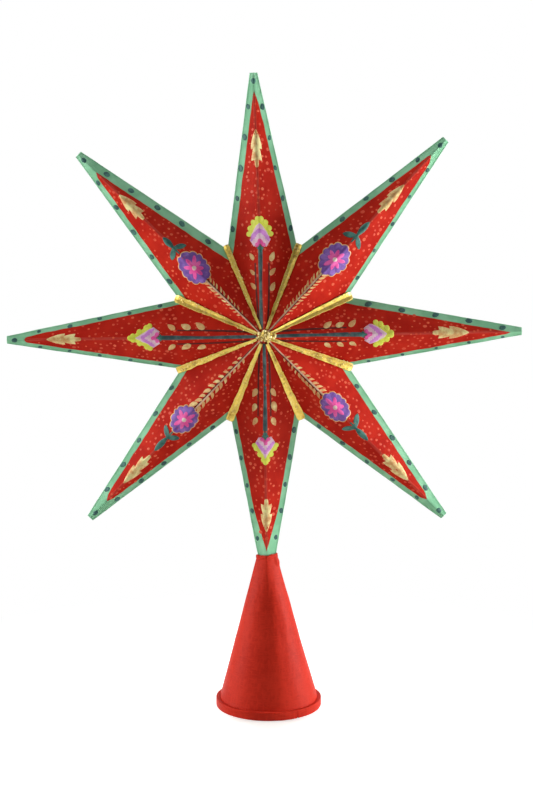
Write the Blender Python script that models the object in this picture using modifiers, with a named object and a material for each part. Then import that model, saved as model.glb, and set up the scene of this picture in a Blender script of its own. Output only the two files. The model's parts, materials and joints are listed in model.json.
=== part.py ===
"""Star tree topper: a hollow eight-pointed star of folded board on a paper cone that slips over a tree's top.

Sizes are in metres. +Z is up and the front looks along -Y. The origin is the middle of the foot, on the
surface that the topper stands on.
"""

import math

import bmesh
import bpy
from mathutils import Vector

# The star, measured in its own plane from its centre
STAR_OFFSET = -0.0024           # star's centre sideways from the foot's middle
STAR_ROLL = math.radians(1.0)   # the star's hand-set turn, anticlockwise from the front
STAR_RADIUS = 0.1325            # centre to a ray's blunt end
NOTCH_RADIUS = 0.0464           # centre to the corner between two rays
RIDGE_RISE = 0.0215             # middle plane to the point where the ridges meet
TIP_HALF_WIDTH = 0.0018         # half the width of a ray's blunt end
TIP_FILL = 0.0120               # solid length at a ray's end
RAY_WALL = 0.0010               # folded board, square to its facet

# Each ray, anticlockwise from the right: its name, how much longer it is than STAR_RADIUS,
# and how far its end lies anticlockwise of true, as the hand-made rays do
RAYS = (
    ("right", 0.0002, -0.0014),
    ("upper_right", 0.0023, 0.0020),
    ("top", -0.0008, 0.0030),
    ("upper_left", -0.0016, 0.0001),
    ("left", 0.0000, 0.0013),
    ("lower_left", 0.0003, 0.0020),
    ("bottom", 0.0000, -0.0007),
    ("lower_right", 0.0016, -0.0037),
)
BOTTOM_RAY = 6                  # the ray that is plugged into the cone

# The gilt ribbons in the valleys between rays
RIBBON_THICKNESS = 0.0005
RIBBON_START_HALF_WIDTH = 0.0009
RIBBON_END_HALF_WIDTH = 0.0025
RIBBON_OVERHANG = 0.0028        # past the notch's corner, where it turns to the back
RIBBON_FILL = 0.5               # share of the valley's depth that the paste under it fills

# The gilt boss where the ridges meet
BOSS_RADIUS = 0.0042
BOSS_RISE = 0.0016              # above the point where the ridges meet
BOSS_DEPTH = 0.0030             # how far it reaches down into the valleys
BOSS_LOBE = 0.0004              # how far its edge draws in between lobes

# The cone
MOUTH_HEIGHT = 0.0812           # foot to the mouth that grips the bottom ray
PLUG_DEPTH = 0.0163             # how far the bottom ray reaches down into the cone
MOUTH_CLEARANCE = 0.0002        # paper to the ray
MOUTH_WALL = 0.0004
COLLAR_LENGTH = 0.0024          # straight part at the mouth
PINCH_LENGTH = 0.0340           # over which the pinched mouth becomes round
PINCHED, ROUND = 1.2, 2.0       # exponents of the section's outline
CONE_FOOT_HALF_WIDTH = 0.0268
CONE_FOOT_HALF_DEPTH = 0.0281   # the hand-rolled foot is a little deeper than it is wide
FOOT_WALL = 0.0012
CONE_SIDES = 48
CONE_LEVELS = 14
LEVEL_CROWDING = 1.5            # draws the levels together towards the pinched mouth

# The band round the cone's foot
RIM_HEIGHT = 0.0045
RIM_WALL = 0.0007               # at the foot
RIM_ROUND = 0.0002              # radius of its edges
RIM_JOINT_ANGLE = math.radians(33.0)    # from the front, to the right
RIM_JOINT_GAP = 0.0007
RIM_STEPS = 72

# Between pieces that are glued face to face
GLUE_GAP = 0.0003

MERGE_DISTANCE = 0.00001        # points nearer than this are one point
SMOOTH_BELOW = math.radians(40) # the cone's faces that meet at less than this are shaded as one

STAR_HEIGHT = MOUTH_HEIGHT + STAR_RADIUS - PLUG_DEPTH     # foot to the star's centre
STEP = 2 * math.pi / len(RAYS)
HALF_STEP = STEP / 2
NOTCH_ALONG = NOTCH_RADIUS * math.cos(HALF_STEP)
NOTCH_ACROSS = NOTCH_RADIUS * math.sin(HALF_STEP)
FRONT, BACK = 1, -1

RED_LACQUER = ("red_lacquer", (0.49, 0.03, 0.02), 0.35, 0.0)
GOLD_LEAF = ("gold_leaf", (0.72, 0.50, 0.16), 0.35, 0.9)
RED_PAPER = ("red_paper", (0.60, 0.04, 0.025), 0.65, 0.0)


def clear_scene():
    for obj in list(bpy.data.objects):
        bpy.data.objects.remove(obj, do_unlink=True)


def new_collection(name):
    collection = bpy.data.collections.new(name)
    bpy.context.scene.collection.children.link(collection)
    return collection


def material(finish):
    """One Principled material for each finish, shared by the pieces that have it."""
    name, colour, roughness, metallic = finish
    found = bpy.data.materials.get(name)
    if found:
        return found
    made = bpy.data.materials.new(name)
    made.use_nodes = True
    shader = made.node_tree.nodes["Principled BSDF"]
    shader.inputs["Base Color"].default_value = (*colour, 1.0)
    shader.inputs["Roughness"].default_value = roughness
    shader.inputs["Metallic"].default_value = metallic
    return made


def new_object(name, bm, collection, finish=None):
    """An object from a bmesh, which is used up."""
    bmesh.ops.recalc_face_normals(bm, faces=bm.faces)
    mesh = bpy.data.meshes.new(name)
    bm.to_mesh(mesh)
    bm.free()
    obj = bpy.data.objects.new(name, mesh)
    collection.objects.link(obj)
    if finish:
        mesh.materials.append(material(finish))
    else:
        obj.hide_render = True
        obj.display_type = "WIRE"
    return obj


def cut(obj, cutter):
    """Takes the cutter out of the object."""
    modifier = obj.modifiers.new(cutter.name, "BOOLEAN")
    modifier.operation = "DIFFERENCE"
    modifier.solver = "EXACT"
    modifier.object = cutter


def set_on_star(obj, star, angle, face):
    """Turns local X out along the star's angle and local Z out of its front or back."""
    obj.parent = star
    obj.rotation_euler = (face * math.pi / 2, -angle, 0)


def trim(bm, point, normal):
    """Cuts off what lies beyond a plane and closes the cut."""
    everything = bm.verts[:] + bm.edges[:] + bm.faces[:]
    result = bmesh.ops.bisect_plane(bm, geom=everything, plane_co=point, plane_no=normal, clear_outer=True)
    loop = [item for item in result["geom_cut"] if isinstance(item, bmesh.types.BMEdge)]
    if loop:
        bmesh.ops.edgeloop_fill(bm, edges=loop)


def ray_sizes(index, face):
    """A ray's reach and its end's sideways place, as its front or back shell sees them."""
    _, longer, sway = RAYS[index % len(RAYS)]
    return STAR_RADIUS + longer, face * sway


def facet_slopes(index, side, face=FRONT):
    """How a facet's height changes along and across its ray, from RIDGE_RISE at the star's centre.

    The facet holds the star's centre point, a notch's corner and one corner of the ray's blunt end.
    """
    reach, sway = ray_sizes(index, face)
    tip_across = sway + side * TIP_HALF_WIDTH
    notch_across = side * NOTCH_ACROSS
    spread = NOTCH_ALONG * tip_across - notch_across * reach
    along = -RIDGE_RISE * (tip_across - notch_across) / spread
    across = -RIDGE_RISE * (NOTCH_ALONG - reach) / spread
    return along, across


def facet_height(index, side, along, across, lift=0.0, face=FRONT):
    """Height over the middle plane of a facet, or of a plane at a square distance above it."""
    slope_along, slope_across = facet_slopes(index, side, face)
    rise = lift * math.sqrt(1 + slope_along**2 + slope_across**2)
    return RIDGE_RISE + slope_along * along + slope_across * across + rise


def ray_block(index, face, lift, side_gap, floor, end):
    """A ray's wedge: a block trimmed by its two facets, its two valleys, a floor and an end."""
    reach = ray_sizes(index, face)[0]
    bm = bmesh.new()
    bmesh.ops.create_cube(bm, size=4 * reach)
    for side in (1, -1):
        slope_along, slope_across = facet_slopes(index, side, face)
        square = Vector((-slope_along, -slope_across, 1)).normalized()
        trim(bm, Vector((0, 0, RIDGE_RISE)) + square * lift, square)
        sideways = Vector((-math.sin(HALF_STEP), side * math.cos(HALF_STEP), 0))
        trim(bm, -sideways * side_gap / 2, sideways)
    trim(bm, Vector((0, 0, floor)), Vector((0, 0, -1)))
    trim(bm, Vector((end, 0, 0)), Vector((1, 0, 0)))
    return bm


def make_ray_shell(index, face, star, parts, cutters):
    """Half of a hollow ray: its front or its back."""
    name = "ray_{}_{}".format(RAYS[index][0], "front" if face == FRONT else "back")
    reach = ray_sizes(index, face)[0]
    block = ray_block(index, face, 0.0, GLUE_GAP, GLUE_GAP / 2, reach)
    shell = new_object(name, block, parts, RED_LACQUER)
    open_sides = -2 * RAY_WALL
    hollow = ray_block(index, face, -RAY_WALL, open_sides, -RAY_WALL, reach - TIP_FILL)
    cutter = new_object(name + "_hollow", hollow, cutters)
    for obj in (shell, cutter):
        set_on_star(obj, star, index * STEP, face)
    cut(shell, cutter)


def ribbon_section(index, along, half_width):
    """The ribbon's outline across the valley that follows a ray: its underside, then its top."""
    turn_cos, turn_sin = math.cos(HALF_STEP), math.sin(HALF_STEP)
    middle = facet_height(index, 1, along * turn_cos, along * turn_sin, GLUE_GAP)
    edges = []
    for side, neighbour in ((1, index + 1), (-1, index)):
        out = along * turn_cos + half_width * turn_sin
        across = side * (half_width * turn_cos - along * turn_sin)
        edges.append(facet_height(neighbour, -side, out, across, GLUE_GAP))
    left, right = edges
    top = middle + RIBBON_THICKNESS + RIBBON_FILL * ((left + right) / 2 - middle)
    outline = (
        (half_width, left),
        (0, middle),
        (-half_width, right),
        (-half_width, right + RIBBON_THICKNESS),
        (0, top),
        (half_width, left + RIBBON_THICKNESS),
    )
    return [Vector((along, across, height)) for across, height in outline]


def skin(bm, sections):
    """Joins sections of equal counts into one tube and closes its ends."""
    rings = [[bm.verts.new(point) for point in section] for section in sections]
    for near, far in zip(rings, rings[1:]):
        for i, vertex in enumerate(near):
            after = (i + 1) % len(near)
            bm.faces.new((vertex, near[after], far[after], far[i]))
    bm.faces.new(rings[0])
    bm.faces.new(reversed(rings[-1]))


def make_ribbon(index, star, parts):
    """The gilt ribbon in the valley after a ray, from the boss out and round the notch to the back."""
    bm = bmesh.new()
    start, end = BOSS_RADIUS + GLUE_GAP, NOTCH_RADIUS + RIBBON_OVERHANG
    ends = ((start, RIBBON_START_HALF_WIDTH), (end, RIBBON_END_HALF_WIDTH))
    skin(bm, [ribbon_section(index, along, half_width) for along, half_width in ends])
    bmesh.ops.triangulate(bm, faces=bm.faces)
    ribbon = new_object("seam_ribbon_{}".format(index + 1), bm, parts, GOLD_LEAF)
    mirror = ribbon.modifiers.new("back", "MIRROR")
    mirror.use_axis = (False, False, True)
    mirror.use_bisect_axis = (False, False, True)
    mirror.bisect_threshold = MERGE_DISTANCE / 10
    mirror.merge_threshold = MERGE_DISTANCE
    set_on_star(ribbon, star, index * STEP + HALF_STEP, FRONT)


def star_core(face):
    """The star's middle as one solid, a glue gap proud of its facets: what the boss is cut to sit on."""
    radius = 2 * BOSS_RADIUS
    bm = bmesh.new()
    count = 2 * len(RAYS)
    bmesh.ops.create_cone(
        bm, cap_ends=True, cap_tris=True, segments=count, radius1=radius, radius2=radius, depth=2 * RIDGE_RISE
    )
    for vertex in bm.verts:
        if vertex.co.z < 0:
            continue
        if vertex.co.xy.length < radius / 2:
            vertex.co.z = facet_height(0, 1, 0, 0, GLUE_GAP)
            continue
        turn = face * math.atan2(vertex.co.y, vertex.co.x) / STEP
        index = round(turn) % len(RAYS)
        _, sway = ray_sizes(index, FRONT)
        off_ridge = turn - round(turn)
        if abs(off_ridge) > 0.25:
            side = 1 if off_ridge > 0 else -1
            angle = side * HALF_STEP
        else:
            side, angle = 1, math.atan2(sway, ray_sizes(index, FRONT)[0])
        place = Vector((radius * math.cos(angle), radius * math.sin(angle)))
        vertex.co.z = facet_height(index, side, place.x, place.y, GLUE_GAP)
        true_angle = face * (index * STEP + angle)
        vertex.co.x = radius * math.cos(true_angle)
        vertex.co.y = radius * math.sin(true_angle)
    return bm


def make_boss(face, star, parts, cutters):
    """The gilt boss that covers the point where the ridges meet."""
    name = "gold_boss_{}".format("front" if face == FRONT else "back")
    bm = bmesh.new()
    bmesh.ops.create_icosphere(bm, subdivisions=3, radius=1.0)
    for vertex in bm.verts:
        angle = math.atan2(vertex.co.y, vertex.co.x)
        drawn_in = BOSS_LOBE * (1 + math.cos(len(RAYS) * angle)) / 2
        tall = BOSS_RISE if vertex.co.z > 0 else BOSS_DEPTH
        reach = BOSS_RADIUS - drawn_in * vertex.co.xy.length
        vertex.co = Vector((vertex.co.x * reach, vertex.co.y * reach, RIDGE_RISE + vertex.co.z * tall))
    boss = new_object(name, bm, parts, GOLD_LEAF)
    cutter = new_object(name + "_seat", star_core(face), cutters)
    for obj in (boss, cutter):
        set_on_star(obj, star, 0, face)
    cut(boss, cutter)


def bottom_ray_at_mouth():
    """Where the cone's mouth meets the bottom ray: its middle's X, its half width and half depth."""
    reach, sway = ray_sizes(BOTTOM_RAY, FRONT)
    along = (STAR_HEIGHT - MOUTH_HEIGHT) / math.cos(STAR_ROLL)
    toward_tip = (along - NOTCH_ALONG) / (reach - NOTCH_ALONG)
    middle = sway * toward_tip
    half_width = NOTCH_ACROSS + (TIP_HALF_WIDTH - NOTCH_ACROSS) * toward_tip
    half_depth = facet_height(BOTTOM_RAY, 1, along, sway * along / reach)
    x = STAR_OFFSET + along * math.sin(STAR_ROLL) + middle * math.cos(STAR_ROLL)
    return x, half_width, half_depth


def cone_inside(z):
    """The cone's inner outline at a height: its middle's X, half width, half depth and exponent."""
    mouth_x, ray_width, ray_depth = bottom_ray_at_mouth()
    thinnest = ray_width * ray_depth / math.hypot(ray_width, ray_depth)
    loose = 1 + MOUTH_CLEARANCE / thinnest
    down = max(0.0, (MOUTH_HEIGHT - COLLAR_LENGTH - z) / (MOUTH_HEIGHT - COLLAR_LENGTH))
    width = ray_width * loose * (1 - down) + (CONE_FOOT_HALF_WIDTH - FOOT_WALL) * down
    depth = ray_depth * loose * (1 - down) + (CONE_FOOT_HALF_DEPTH - FOOT_WALL) * down
    fade = min(1.0, (MOUTH_HEIGHT - z) / PINCH_LENGTH)
    exponent = PINCHED + (ROUND - PINCHED) * fade * fade * (3 - 2 * fade)
    return mouth_x * z / MOUTH_HEIGHT, width, depth, exponent


def cone_rings(z):
    """The cone's inner and outer outlines at a height, as two lists of points."""
    x, width, depth, exponent = cone_inside(z)
    radii = []
    for i in range(CONE_SIDES):
        angle = 2 * math.pi * i / CONE_SIDES
        share = abs(math.cos(angle) / width) ** exponent + abs(math.sin(angle) / depth) ** exponent
        radii.append((angle, share ** (-1 / exponent)))
    wall = MOUTH_WALL + (FOOT_WALL - MOUTH_WALL) * (1 - z / MOUTH_HEIGHT)
    grow = 1 + wall / min(radius for _, radius in radii)
    rings = []
    for scale in (1.0, grow):
        ring = [Vector((x + scale * r * math.cos(a), scale * r * math.sin(a), z)) for a, r in radii]
        rings.append(ring)
    return rings


def make_cone(parts):
    """The hollow cone, round at the foot and pinched to the bottom ray's section at its mouth."""
    levels = [MOUTH_HEIGHT, MOUTH_HEIGHT - COLLAR_LENGTH]
    top, bottom = levels[-1], GLUE_GAP
    for i in range(1, CONE_LEVELS + 1):
        share = (i / CONE_LEVELS) ** LEVEL_CROWDING
        levels.append(top + (bottom - top) * share)
    bm = bmesh.new()
    rings = [cone_rings(z) for z in levels]
    loops = [[bm.verts.new(p) for p in inner] for inner, _ in rings]
    loops += [[bm.verts.new(p) for p in outer] for _, outer in reversed(rings)]
    for near, far in zip(loops, loops[1:] + loops[:1]):
        for i in range(CONE_SIDES):
            after = (i + 1) % CONE_SIDES
            bm.faces.new((near[i], near[after], far[after], far[i]))
    cone = new_object("cone_shell", bm, parts, RED_PAPER)
    cone.data.shade_smooth()
    cone.data.set_sharp_from_angle(angle=SMOOTH_BELOW)


def arc(centre_r, centre_z, first, last, count=4):
    """Points of a profile's round edge, from one angle to another in degrees."""
    points = []
    for i in range(count + 1):
        angle = math.radians(first + (last - first) * i / count)
        points.append((centre_r + RIM_ROUND * math.cos(angle), centre_z + RIM_ROUND * math.sin(angle)))
    return points


def rim_profile():
    """The band's outline as pairs: how far outside the cone's foot, and the height."""
    cone_half_width = cone_rings(RIM_HEIGHT)[1][0].x - cone_inside(RIM_HEIGHT)[0]
    outer = GLUE_GAP + RIM_WALL
    profile = [(cone_half_width - CONE_FOOT_HALF_WIDTH + GLUE_GAP, RIM_HEIGHT)]
    profile += arc(outer - RIM_ROUND, RIM_HEIGHT - RIM_ROUND, 90, 0)
    profile += arc(outer - RIM_ROUND, RIM_ROUND, 0, -90)
    profile.append((GLUE_GAP, 0.0))
    return profile


def make_rim(parts):
    """The band round the cone's foot, open where its two ends butt."""
    joint = RIM_JOINT_ANGLE - math.pi / 2
    half_gap = RIM_JOINT_GAP / 2 / CONE_FOOT_HALF_WIDTH
    profile = rim_profile()
    sections = []
    for i in range(RIM_STEPS + 1):
        angle = joint + half_gap + (2 * math.pi - 2 * half_gap) * i / RIM_STEPS
        section = []
        for outside, z in profile:
            x = (CONE_FOOT_HALF_WIDTH + outside) * math.cos(angle)
            y = (CONE_FOOT_HALF_DEPTH + outside) * math.sin(angle)
            section.append(Vector((x, y, z)))
        sections.append(section)
    bm = bmesh.new()
    skin(bm, sections)
    new_object("rim_band", bm, parts, RED_PAPER)


def main():
    clear_scene()
    parts = new_collection("star_tree_topper")
    cutters = new_collection("cutters")
    star = bpy.data.objects.new("star", None)
    parts.objects.link(star)
    star.location = (STAR_OFFSET, 0, STAR_HEIGHT)
    star.rotation_euler = (0, -STAR_ROLL, 0)
    for index in range(len(RAYS)):
        for face in (FRONT, BACK):
            make_ray_shell(index, face, star, parts, cutters)
        make_ribbon(index, star, parts)
    for face in (FRONT, BACK):
        make_boss(face, star, parts, cutters)
    make_cone(parts)
    make_rim(parts)


main()
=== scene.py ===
"""Looks of the folded star tree topper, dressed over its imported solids.

Sizes are in metres in the part's own frame: +Z up, the decorated front looks along -Y, and the origin
is the middle of the cone's foot. The star's boards, ribbons, bosses, cone and rim are modelled again
with their hand-made surface, and the painted flowers, leaves and dots are laid on the boards as thin
raised paint.
"""

import json
import logging
import math
from dataclasses import dataclass, replace
from enum import Enum
from typing import Any, Callable, Sequence

import bmesh
import bpy
import numpy as np
from mathutils import Euler, Matrix, Vector, noise

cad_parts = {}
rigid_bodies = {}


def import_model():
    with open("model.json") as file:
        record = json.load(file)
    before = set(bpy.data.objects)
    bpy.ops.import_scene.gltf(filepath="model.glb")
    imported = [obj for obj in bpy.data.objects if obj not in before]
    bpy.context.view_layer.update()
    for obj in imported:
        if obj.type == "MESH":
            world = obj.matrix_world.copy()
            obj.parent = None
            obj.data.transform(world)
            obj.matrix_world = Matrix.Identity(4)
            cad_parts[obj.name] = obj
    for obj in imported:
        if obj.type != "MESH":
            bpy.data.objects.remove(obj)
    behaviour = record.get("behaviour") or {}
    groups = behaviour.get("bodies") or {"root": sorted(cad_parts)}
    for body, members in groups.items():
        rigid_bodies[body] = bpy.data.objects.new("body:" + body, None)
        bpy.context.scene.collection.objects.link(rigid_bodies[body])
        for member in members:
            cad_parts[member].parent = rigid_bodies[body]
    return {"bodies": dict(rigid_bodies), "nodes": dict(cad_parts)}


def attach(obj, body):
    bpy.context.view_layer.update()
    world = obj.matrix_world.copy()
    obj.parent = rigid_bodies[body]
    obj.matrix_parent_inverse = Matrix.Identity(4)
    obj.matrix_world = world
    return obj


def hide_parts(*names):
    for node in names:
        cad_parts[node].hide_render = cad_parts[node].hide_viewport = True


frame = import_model()

LOG = logging.getLogger("star_tree_topper")
BODY = "root"
PHOTO_HEIGHT = 800
MILLIMETRE = 0.001
FULL_TURN = 2 * math.pi

Colour = tuple[float, float, float]
Point = tuple[float, float, float]
Flat = tuple[float, float]


class Face(Enum):
    """The two sides of the star. The value is the sign that the side's height has."""

    FRONT = 1
    BACK = -1

    @property
    def word(self) -> str:
        """The side's name in a piece's name."""
        return self.name.lower()


class Slot(Enum):
    """The record's material slots."""

    RED_LACQUER = "red_lacquer"
    GOLD_LEAF = "gold_leaf"
    RED_PAPER = "red_paper"
    GOLD_PAINT = "gold_paint"
    TEAL_PAINT = "teal_paint"
    PURPLE_PAINT = "purple_paint"
    PINK_PAINT = "pink_paint"
    LIME_PAINT = "lime_paint"


# Building node trees

def port(sockets: Any, name: str | None) -> bpy.types.NodeSocket:
    """The socket in use that has a name, or the first in use.

    Args:
        sockets: A node's inputs or outputs.
        name: The socket's name, or None for the first.

    Returns:
        The socket. Nodes that serve several data types hide all but one of each name.
    """
    for socket in sockets:
        if socket.enabled and (name is None or socket.name == name):
            return socket
    raise KeyError(f"no socket named {name}")


def add_input(tree: bpy.types.NodeTree, label: str, value: Any) -> None:
    """Gives a tree an input.

    Args:
        tree: The tree.
        label: The input's name.
        value: Its default, or a socket type where it has none.
    """
    kinds = {str: value, int: "NodeSocketInt", float: "NodeSocketFloat", tuple: "NodeSocketVector"}
    made = tree.interface.new_socket(name=label, in_out="INPUT", socket_type=kinds[type(value)])
    if not isinstance(value, str):
        made.default_value = value


class Term:
    """What a node puts out, which adds and multiplies like a plain number."""

    def __init__(self, graph: "Graph", socket: bpy.types.NodeSocket) -> None:
        """Keeps the output and the graph that it belongs to."""
        self.graph, self.socket = graph, socket

    def __add__(self, other: Any) -> "Term":
        """The sum."""
        return self.graph.math("ADD", self, other)

    def __sub__(self, other: Any) -> "Term":
        """The difference."""
        return self.graph.math("SUBTRACT", self, other)

    def __rsub__(self, other: Any) -> "Term":
        """The difference from a plain number."""
        return self.graph.math("SUBTRACT", other, self)

    def __mul__(self, other: Any) -> "Term":
        """The product."""
        return self.graph.math("MULTIPLY", self, other)

    def __truediv__(self, other: Any) -> "Term":
        """The quotient."""
        return self.graph.math("DIVIDE", self, other)

    def __pow__(self, other: Any) -> "Term":
        """The power."""
        return self.graph.math("POWER", self, other)

    def __abs__(self) -> "Term":
        """The size without its sign."""
        return self.graph.math("ABSOLUTE", self)


class Graph:
    """A node tree under construction, for geometry or for a material."""

    def __init__(self, tree: bpy.types.NodeTree) -> None:
        """Empties a tree and starts on it."""
        self.tree, self.column = tree, 0
        tree.nodes.clear()

    def node(self, kind: str, inputs: dict[str, Any] | None = None, **settings: Any) -> bpy.types.Node:
        """Adds a node.

        Args:
            kind: The node's type name.
            inputs: Values or terms for its inputs, by input name.
            settings: The node's own options.

        Returns:
            The new node.
        """
        made = self.tree.nodes.new(kind)
        made.location = (180 * self.column, -60 * (self.column % 5))
        self.column += 1
        for name, value in settings.items():
            setattr(made, name, value)
        for name, value in (inputs or {}).items():
            self.feed(port(made.inputs, name), value)
        return made

    def feed(self, socket: bpy.types.NodeSocket, value: Any) -> None:
        """Links a term to an input, or sets the input's own value.

        Args:
            socket: The input.
            value: A term, or a plain value.
        """
        if isinstance(value, Term):
            self.tree.links.new(value.socket, socket)
        else:
            socket.default_value = value

    def out(self, node: bpy.types.Node, name: str | None = None) -> Term:
        """One of a node's outputs, by name or the first."""
        return Term(self, port(node.outputs, name))

    def take(
        self, kind: str, inputs: dict[str, Any] | None = None, out: str | None = None, **settings: Any
    ) -> Term:
        """Adds a node and gives one of its outputs, by name or the first."""
        return self.out(self.node(kind, inputs, **settings), out)

    def ordered(self, kind: str, *values: Any, out: str | None = None, **settings: Any) -> Term:
        """Adds a node whose inputs are given in their order.

        Args:
            kind: The node's type name.
            values: Values or terms for its first inputs in use.
            out: The output's name, or None for the first.
            settings: The node's own options.

        Returns:
            The output.
        """
        made = self.node(kind, **settings)
        for socket, value in zip([s for s in made.inputs if s.enabled], values):
            self.feed(socket, value)
        return self.out(made, out)

    def math(self, operation: str, *values: Any, clamp: bool = False) -> Term:
        """One sum on numbers, kept from 0 to 1 where it is clamped."""
        return self.ordered("ShaderNodeMath", *values, operation=operation, use_clamp=clamp)

    def vector(self, operation: str, *values: Any, out: str = "Vector") -> Term:
        """One sum on vectors, whose result is a vector or a "Value"."""
        return self.ordered("ShaderNodeVectorMath", *values, out=out, operation=operation)

    def combined(self, x: Any, y: Any, z: Any) -> Term:
        """A vector from its three parts."""
        return self.ordered("ShaderNodeCombineXYZ", x, y, z)

    def ramp(self, value: Any, low: Any, high: Any, to_low: float = 0.0, to_high: float = 1.0) -> Term:
        """A smooth step between two results, where a value goes from low to high."""
        inputs = {"Value": value, "From Min": low, "From Max": high, "To Min": to_low, "To Max": to_high}
        return self.take("ShaderNodeMapRange", inputs, interpolation_type="SMOOTHSTEP")

    def blend(self, share: Any, first: Any, second: Any) -> Term:
        """A mix of two colours, each a plain one or a term.

        Args:
            share: How much of the second there is.
            first: The first.
            second: The second.

        Returns:
            The mixed colour.
        """
        first, second = (value if isinstance(value, Term) else (*value, 1.0) for value in (first, second))
        inputs = {"Factor": share, "A": first, "B": second}
        return self.take("ShaderNodeMix", inputs, "Result", data_type="RGBA", clamp_factor=True)

    def noise(self, place: Term, scale: Any, detail: float, **more: float) -> Term:
        """Noise of about 0 to 1, with its waves for each unit of place and its finer layers."""
        return self.take("ShaderNodeTexNoise", {"Vector": place, "Scale": scale, "Detail": detail} | more)

    def stored(self, name: str) -> Term:
        """A number that the mesh's points store, read in a material."""
        return self.take("ShaderNodeAttribute", out="Fac", attribute_name=name)

    def place(self) -> Term:
        """The place in the part's own frame, read in a material."""
        return self.take("ShaderNodeTexCoord", out="Object")

    def sights(self) -> list[Term]:
        """Whether a ray comes from the camera, from a mirroring surface or through a clear one."""
        path = self.node("ShaderNodeLightPath")
        return [self.out(path, f"Is {kind} Ray") for kind in ("Camera", "Glossy", "Transmission")]


# Shader node groups that several finishes share

class Effect:
    """A shader node group, built once and placed in the materials that use it.

    Each kind has a title, and names its inputs with their defaults, and its outputs.
    """

    title = ""
    inputs: dict[str, Any] = {}
    outputs: tuple[str, ...] = ()
    made: dict[str, bpy.types.NodeTree] = {}

    @staticmethod
    def fill(inside: Graph, *given: Term) -> list[Term]:
        """Builds the inside from the inputs and gives what the outputs get."""
        raise NotImplementedError

    @classmethod
    def place(cls, graph: Graph, given: dict[str, Any]) -> list[Term]:
        """Places the group in a material. It is built when it is first asked for.

        Args:
            graph: The material's graph.
            given: Values or terms for the inputs that this material sets.

        Returns:
            The placed group's outputs.
        """
        if cls.title not in cls.made:
            tree = cls.made[cls.title] = bpy.data.node_groups.new(cls.title, "ShaderNodeTree")
            for label, value in cls.inputs.items():
                add_input(tree, label, value)
            for label in cls.outputs:
                tree.interface.new_socket(name=label, in_out="OUTPUT", socket_type="NodeSocketFloat")
            inside = Graph(tree)
            entry, leave = inside.node("NodeGroupInput"), inside.node("NodeGroupOutput")
            results = cls.fill(inside, *[inside.out(entry, label) for label in cls.inputs])
            for label, result in zip(cls.outputs, results):
                inside.feed(port(leave.inputs, label), result)
        placed = graph.node("ShaderNodeGroup", given, node_tree=cls.made[cls.title])
        return [graph.out(placed, label) for label in cls.outputs]


class Brushwork(Effect):
    """Strokes of a small brush: long streaks, uneven cover and the ridges that bristles leave."""

    title = "Brushwork"
    inputs = {
        "Place": (0.0, 0.0, 0.0), "Per Metre": (120.0, 1400.0, 900.0), "Cover Scale": 90.0, "Contrast": 0.6,
    }
    outputs = ("Tone", "Ridges", "Cover")

    @staticmethod
    def fill(inside: Graph, place: Term, per_metre: Term, cover_scale: Term, contrast: Term) -> list[Term]:
        """Streaks are noise drawn out along the first coordinate.

        Args:
            inside: The group's graph.
            place: Where on the surface.
            per_metre: Streaks per metre in each direction.
            cover_scale: Thick and thin patches per metre.
            contrast: How far the tone strays from 1.

        Returns:
            The tone about 1, the ridges and the cover.
        """
        streak = inside.noise(inside.vector("MULTIPLY", place, per_metre), 1.0, 4.0, Roughness=0.6)
        cover = inside.noise(place, cover_scale, 3.0)
        tone = streak * 0.55 + cover * 0.45
        return [(tone - 0.5) * contrast + 1.0, streak, cover]


class GiltFlakes(Effect):
    """Metal flakes in gilt: each small cell has its own brightness."""

    title = "Gilt flakes"
    inputs = {"Place": (0.0, 0.0, 0.0), "Per Metre": 1500.0}
    outputs = ("Flake", "Bright")

    @staticmethod
    def fill(inside: Graph, place: Term, per_metre: Term) -> list[Term]:
        """One Voronoi cell is one flake.

        Args:
            inside: The group's graph.
            place: Where on the surface.
            per_metre: Flakes per metre.

        Returns:
            Each flake's own number, and how bright it is.
        """
        inputs = {"Vector": place, "Scale": per_metre}
        cells = inside.take("ShaderNodeTexVoronoi", inputs, "Color", feature="F1")
        flake = inside.take("ShaderNodeSeparateColor", {"Color": cells}, "Red")
        return [flake, inside.ramp(flake, 0.55, 1.0)]


class PaperFibre(Effect):
    """Felted paper fibre: crossed fine strands over a soft mottle."""

    title = "Paper fibre"
    inputs = {"Place": (0.0, 0.0, 0.0), "Per Metre": 900.0, "Mottle Scale": 45.0}
    outputs = ("Strands", "Mottle")

    @staticmethod
    def fill(inside: Graph, place: Term, per_metre: Term, mottle_scale: Term) -> list[Term]:
        """Two drawn-out noises cross, and a broad one mottles them.

        Args:
            inside: The group's graph.
            place: Where on the surface.
            per_metre: Strands per metre.
            mottle_scale: Soft patches per metre.

        Returns:
            The strands and the mottle.
        """
        upright, level = (
            inside.noise(inside.vector("MULTIPLY", place, stretch), per_metre, 5.0, Distortion=0.4)
            for stretch in ((1.0, 1.0, 0.18), (0.3, 0.3, 1.6))
        )
        return [inside.math("MAXIMUM", upright, level), inside.noise(place, mottle_scale, 3.0)]


# Finishes

@dataclass(frozen=True)
class Look:
    """What a finish gives its shader: colour, roughness and relief, and how deep the relief is."""

    colour: Term
    roughness: Term
    relief: Term
    strength: float
    depth: float
    metallic: float = 0.0
    specular: float = 0.5


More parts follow.
